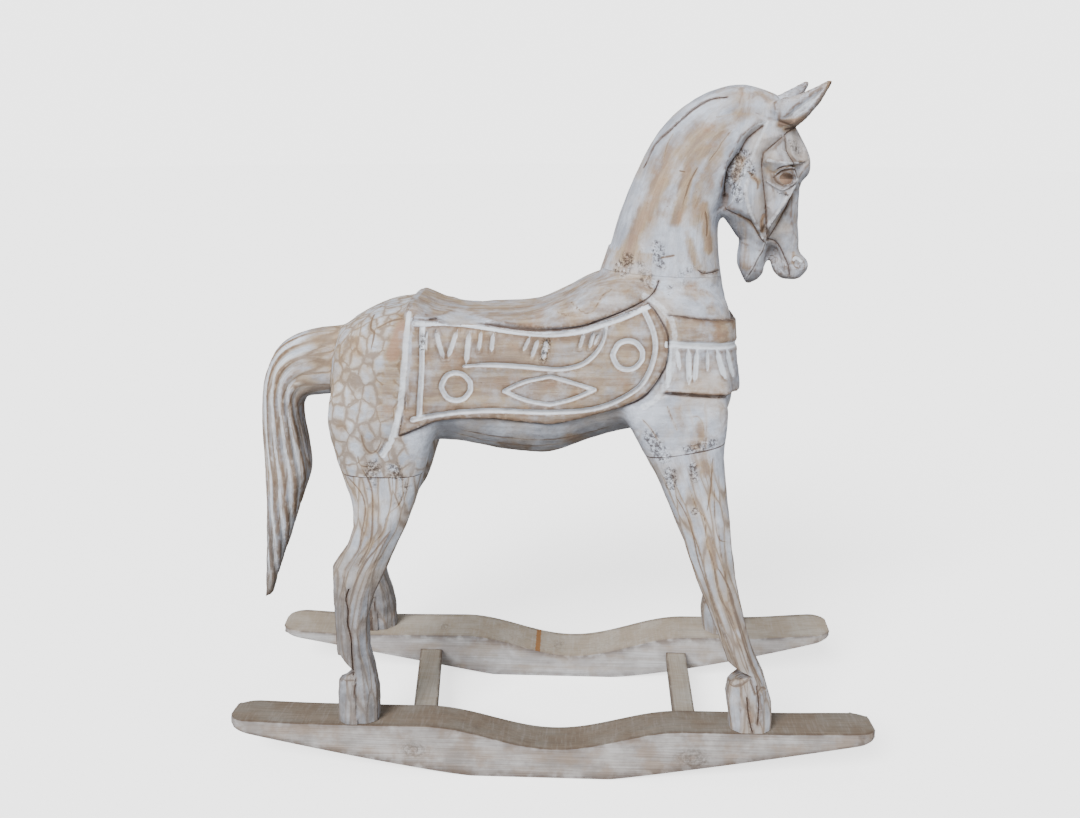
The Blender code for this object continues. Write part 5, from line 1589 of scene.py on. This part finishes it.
def seamLine(tree, place, seam):
    # dark thin line where a block meets the next one
    ramp, noisy, times = shortcuts(tree)[:3]
    point, direction = joints[seam]
    values = seams[seam]
    offset = vectorMath(tree, "SUBTRACT", place, tuple(point))[0]
    distance = vectorMath(tree, "DOT_PRODUCT", offset, tuple(direction.normalized()))["Value"]
    width = ramp(noisy(place, 60.0, 3.0), 0.3, 0.7, 0.4 * values["width"], 1.3 * values["width"])
    line = calc(tree, "DIVIDE", calc(tree, "ABSOLUTE", distance), width)
    along = addNode(tree, "SeparateXYZ", {0: place}).outputs["X"]
    nearby = addNode(tree, "Math", {0: along, 1: values["x"], 2: values["reach"]}, operation="COMPARE")
    return times(times(ramp(line, 1.0, 0.4), nearby.outputs[0]), values["strength"])


# where the glue lines show: middle and reach along X, width, and how dark
seams = {
    "hind": {"x": -0.19, "reach": 0.1, "width": 0.0011, "strength": 0.8},
    "fore": {"x": 0.15, "reach": 0.1, "width": 0.0011, "strength": 0.8},
    "neck": {"x": 0.1, "reach": 0.1, "width": 0.0008, "strength": 0.2},
    "tail": {"x": -0.25, "reach": 0.02, "width": 0.0008, "strength": 0.2},
}


# each kind of block's wash: cells of the net of veins per metre across, sideways and along, the veins'
# width, how far the wash is rubbed off all over, and the glue lines that show
washes = {
    "body": {"name": "body whitewash", "cells": (70, 50, 64), "veins": 0.13, "rubbed": 0.02,
             "seams": ("hind", "fore", "tail", "neck")},
    "head_and_neck": {"name": "neck whitewash", "cells": (60, 60, 12), "veins": 0.07, "rubbed": 0.05,
                      "seams": ("neck",)},
    "tail": {"name": "tail whitewash", "cells": (90, 90, 9), "veins": 0.1, "rubbed": 0.05,
             "seams": ("tail",)},
    "hind_leg": {"name": "hind leg whitewash", "cells": (85, 85, 11), "veins": 0.08, "rubbed": 0.02,
                 "seams": ("hind",)},
    "fore_leg": {"name": "fore leg whitewash", "cells": (80, 80, 11), "veins": 0.09, "rubbed": 0.04,
                 "seams": ("fore",)},
}


def carvedFinish(wash, group):
    material, tree, inputs = newMaterial(wash["name"])
    place = addNode(tree, "TexCoord").outputs["Object"]
    flow = addNode(tree, "Attribute", attribute_name="flow").outputs["Vector"]
    net = addNode(tree, "Mapping", {"Vector": flow, "Scale": wash["cells"]}).outputs[0]
    marks = {label: addNode(tree, "Attribute", attribute_name=source).outputs["Fac"]
             for label, source in markInputs.items()}
    for seam in wash["seams"]:
        marks["Line"] = calc(tree, "MAXIMUM", marks["Line"], seamLine(tree, place, seam))
    made = placeGroup(tree, group, {"Flow": flow, "Place": place, "Net": net, "Net width": wash["veins"],
                                    "Rubbed": wash["rubbed"], **marks})
    finishInputs(tree, inputs, made["Color"], made["Roughness"], made["Height"], gloss["carved"])
    return material


def knotGroup():
    # a knot seen on a sawn face: rings squeezed round a centre, and the dark heart
    group, given, out = newGroup("knot", (
        ("Vector", "Vector", None), ("Centre", "Vector", None), ("Size", "Float", 0.008)),
        (("Near", "Float"), ("Ring", "Float"), ("Heart", "Float")))
    ramp, noisy, times, plus = shortcuts(group)[:4]
    offset = vectorMath(group, "SUBTRACT", given["Vector"], given["Centre"])[0]
    squeezed = vectorMath(group, "MULTIPLY", offset, (0.62, 0.4, 1.0))[0]
    distance = vectorMath(group, "LENGTH", squeezed)["Value"]
    wavy = times(noisy(given["Vector"], 130.0, 3.0), 0.004)
    far = calc(group, "DIVIDE", plus(distance, wavy), given["Size"])
    group.links.new(ramp(far, 2.3, 0.9), out["Near"])
    group.links.new(calc(group, "SINE", times(far, 11.0)), out["Ring"])
    group.links.new(ramp(far, 0.75, 0.45), out["Heart"])
    return group


def sawnFinish(name, groups, colours, axis, knots=(), band=None, slat=False):
    material, tree, inputs = newMaterial(name)
    ramp, noisy, times, plus, mix = shortcuts(tree)
    woodGrain, knot, chipped = groups
    place = addNode(tree, "TexCoord").outputs["Object"]
    turned = addNode(tree, "Mapping", {"Vector": place, "Rotation": axis}).outputs[0]
    grain = placeGroup(tree, woodGrain, {"Vector": turned, "Fineness": 620.0, "Length": 0.022})
    ridge = addNode(tree, "Attribute", attribute_name="wornRidgeAndRimShade").outputs["Fac"]
    facing = addNode(tree, "SeparateXYZ", {0: addNode(tree, "NewGeometry").outputs["Normal"]})
    upward = ramp(facing.outputs["Z"], 0.55, 0.8)
    cloud = noisy(place, 22.0, 4.0, 0.6)
    handled = noisy(turned, 30.0, 4.0, 0.6)

    # sides keep most of the whitewash; the tops are walked and handled to a grey tan
    colour = mix(ramp(cloud, 0.35, 0.65), colours["side"], colours["sideShade"])
    tan = ramp(plus(handled, times(grain["Streak"], 0.1)), 0.5, 0.72, 0.0, 0.6)
    colour = mix(tan, colour, colours["sideTan"])
    top = mix(ramp(cloud, 0.34, 0.62), colours["top"], colours["topTan"])
    across = vectorMath(tree, "MULTIPLY", turned, (0.1, 0.1, 1.0))[0]
    top = mix(ramp(noisy(across, 300.0, 3.0, 0.7), 0.48, 0.68, 0.0, 0.14), top, colours["side"])
    colour = mix(0.95 if slat else upward, colour, top)
    fine = times(grain["Fine"], 0.3)
    colour = mix(fine, colour, colours["grain"])
    colour = mix(times(grain["Streak"], 0.2), colour, colours["sideTan"])
    height = times(grain["Fine"], -0.00014)
    for centre, size in knots:
        made = placeGroup(tree, knot, {"Vector": place, "Centre": centre, "Size": size})
        smudge = times(made["Near"], ramp(noisy(place, 240.0, 4.0, 0.7), 0.4, 0.62))
        colour = mix(times(smudge, 0.55), colour, colours["grain"])
        rings = times(ramp(made["Ring"], 0.1, 0.9), made["Near"])
        colour = mix(times(rings, 0.22), colour, colours["grain"])
        colour = mix(times(made["Heart"], 0.35), colour, palette["vein"])
        height = plus(height, times(rings, -0.00012))
    if band:
        # a strip of old varnish across the top
        low, high = band
        along = addNode(tree, "SeparateXYZ", {0: place}).outputs["X"]
        uneven = times(noisy(place, 260.0, 3.0), 0.003)
        along = plus(along, uneven)
        strip = times(ramp(along, low, low + 0.0012), ramp(along, high, high - 0.0012))
        strip = times(times(strip, upward), 0.85)
        colour = mix(strip, colour, colours["varnish"])
    specks = placeGroup(tree, chipped, {"Vector": place, "Amount": 0.16})
    colour = mix(times(specks["Speck"], 0.5), colour, palette["speck"])
    edge = times(ridge, ramp(noisy(turned, 60.0, 3.0), 0.36, 0.56, 0.25, 1.0))
    colour = mix(times(edge, 0.66), colour, colours["edge"])
    height = plus(height, times(noisy(place, 70.0, 4.0, 0.6), 0.0004))
    finishInputs(tree, inputs, colour, ramp(grain["Fine"], 0.0, 1.0, 0.66, 0.78), height, gloss["sawn"])
    return material


boardColours = paints(
    side=(186, 184, 184),
    sideShade=(146, 142, 140),
    sideTan=(146, 128, 112),
    top=(126, 120, 111),
    topTan=(114, 102, 89),
    grain=(84, 74, 64),
    edge=(72, 56, 46),
    varnish=(138, 92, 44),
)
# paler copies of the board colours for the far board and the slats: painted light, as they lie in the
# horse's shadow
farBoardColoursWithPaintedLight = {**boardColours, **paints(
    side=(206, 206, 208), sideShade=(172, 168, 168), sideTan=(170, 154, 138), top=(168, 161, 150),
    topTan=(154, 142, 126), grain=(104, 94, 84))}
slatColoursWithPaintedLight = {**farBoardColoursWithPaintedLight, **paints(top=(158, 153, 143), topTan=(146, 137, 123))}

studio = {
    "camera": (0.032, -1.129, 0.745),
    "yaw": -0.041,             # radians, turned to the right of +Y
    "pitch": 0.29,             # radians, down
    "roll": -0.002,
    "lens": 33.33,
    "floorColour": (0.92, 0.92, 0.92, 1.0),
    "floorBounce": (0.3, 0.3, 0.3, 1.0),
    "floorGlow": 1.85,
    "skyShown": 3.35,
    "skyLight": 0.44,
    # suns: the way they shine, strength, and how wide they look in radians
    "key": {"towards": (0.42, 0.78, -0.72), "strength": 5.3, "angle": 0.5},
    "fill": {"towards": (-0.8, 0.62, -0.3), "strength": 0.9, "angle": 0.9},
}


def makeStudio():
    bm = bmesh.new()
    bmesh.ops.create_circle(bm, cap_ends=True, segments=96, radius=14.0)
    mesh = bpy.data.meshes.new("floor")
    bm.to_mesh(mesh)
    bm.free()
    floor = bpy.data.objects.new("floor", mesh)
    bpy.context.scene.collection.objects.link(floor)
    material, tree, inputs = newMaterial("floor")
    inputs["Roughness"].default_value = 0.9
    inputs["Emission Color"].default_value = (1.0, 1.0, 1.0, 1.0)
    # the floor looks paler than it lights the horse from below
    seen = addNode(tree, "LightPath").outputs["Is Camera Ray"]
    tree.links.new(mixColour(tree, seen, studio["floorBounce"], studio["floorColour"]), inputs["Base Color"])
    tree.links.new(calc(tree, "MULTIPLY", seen, studio["floorGlow"]), inputs["Emission Strength"])
    mesh.materials.append(material)

    world = bpy.data.worlds.new("studio")
    world.use_nodes = True
    tree = world.node_tree
    background = tree.nodes["Background"]
    background.inputs["Color"].default_value = (1.0, 1.0, 1.0, 1.0)
    seen = addNode(tree, "LightPath").outputs["Is Camera Ray"]
    levels = {"Value": seen, "To Min": studio["skyLight"], "To Max": studio["skyShown"]}
    tree.links.new(addNode(tree, "MapRange", levels).outputs["Result"], background.inputs["Strength"])
    bpy.context.scene.world = world

    for name in ("key", "fill"):
        values = studio[name]
        light = bpy.data.lights.new(name, "SUN")
        light.energy = values["strength"]
        light.angle = values["angle"]
        lamp = bpy.data.objects.new(name, light)
        lamp.rotation_euler = Vector(values["towards"]).to_track_quat("-Z", "Y").to_euler()
        bpy.context.scene.collection.objects.link(lamp)

    camera = bpy.data.cameras.new("camera")
    camera.lens = studio["lens"]
    viewer = bpy.data.objects.new("camera", camera)
    viewer.location = studio["camera"]
    yaw, pitch = studio["yaw"], studio["pitch"]
    forward = Vector((math.sin(yaw) * math.cos(pitch), math.cos(yaw) * math.cos(pitch), -math.sin(pitch)))
    viewer.rotation_euler = forward.to_track_quat("-Z", "Y").to_euler()
    viewer.rotation_euler.rotate_axis("Z", -studio["roll"])
    bpy.context.scene.collection.objects.link(viewer)
    bpy.context.scene.camera = viewer


veinNet, woodGrain, chipped = veinNetGroup(), woodGrainGroup(), chippedGroup()
rubbedWash = rubbedWashGroup(veinNet, woodGrain, chipped)
knot = knotGroup()
makeHorse({kind: carvedFinish(wash, rubbedWash) for kind, wash in washes.items()})
lengthwise = (0.0, math.radians(-90.0), 0.0)
crosswise = (math.radians(90.0), 0.0, 0.0)
boardGroups = (woodGrain, knot, chipped)
for name, colours in (("rocker_right", boardColours), ("rocker_left", farBoardColoursWithPaintedLight)):
    which = boards[name]
    makeBoard(name, sawnFinish(which["word"] + " board", boardGroups, colours, lengthwise, which["knots"],
                               which["band"]))
for name in slats:
    makeSlat(name, sawnFinish(name + " wood", boardGroups, slatColoursWithPaintedLight, crosswise, slat=True))
makeStudio()
print("studio lit")
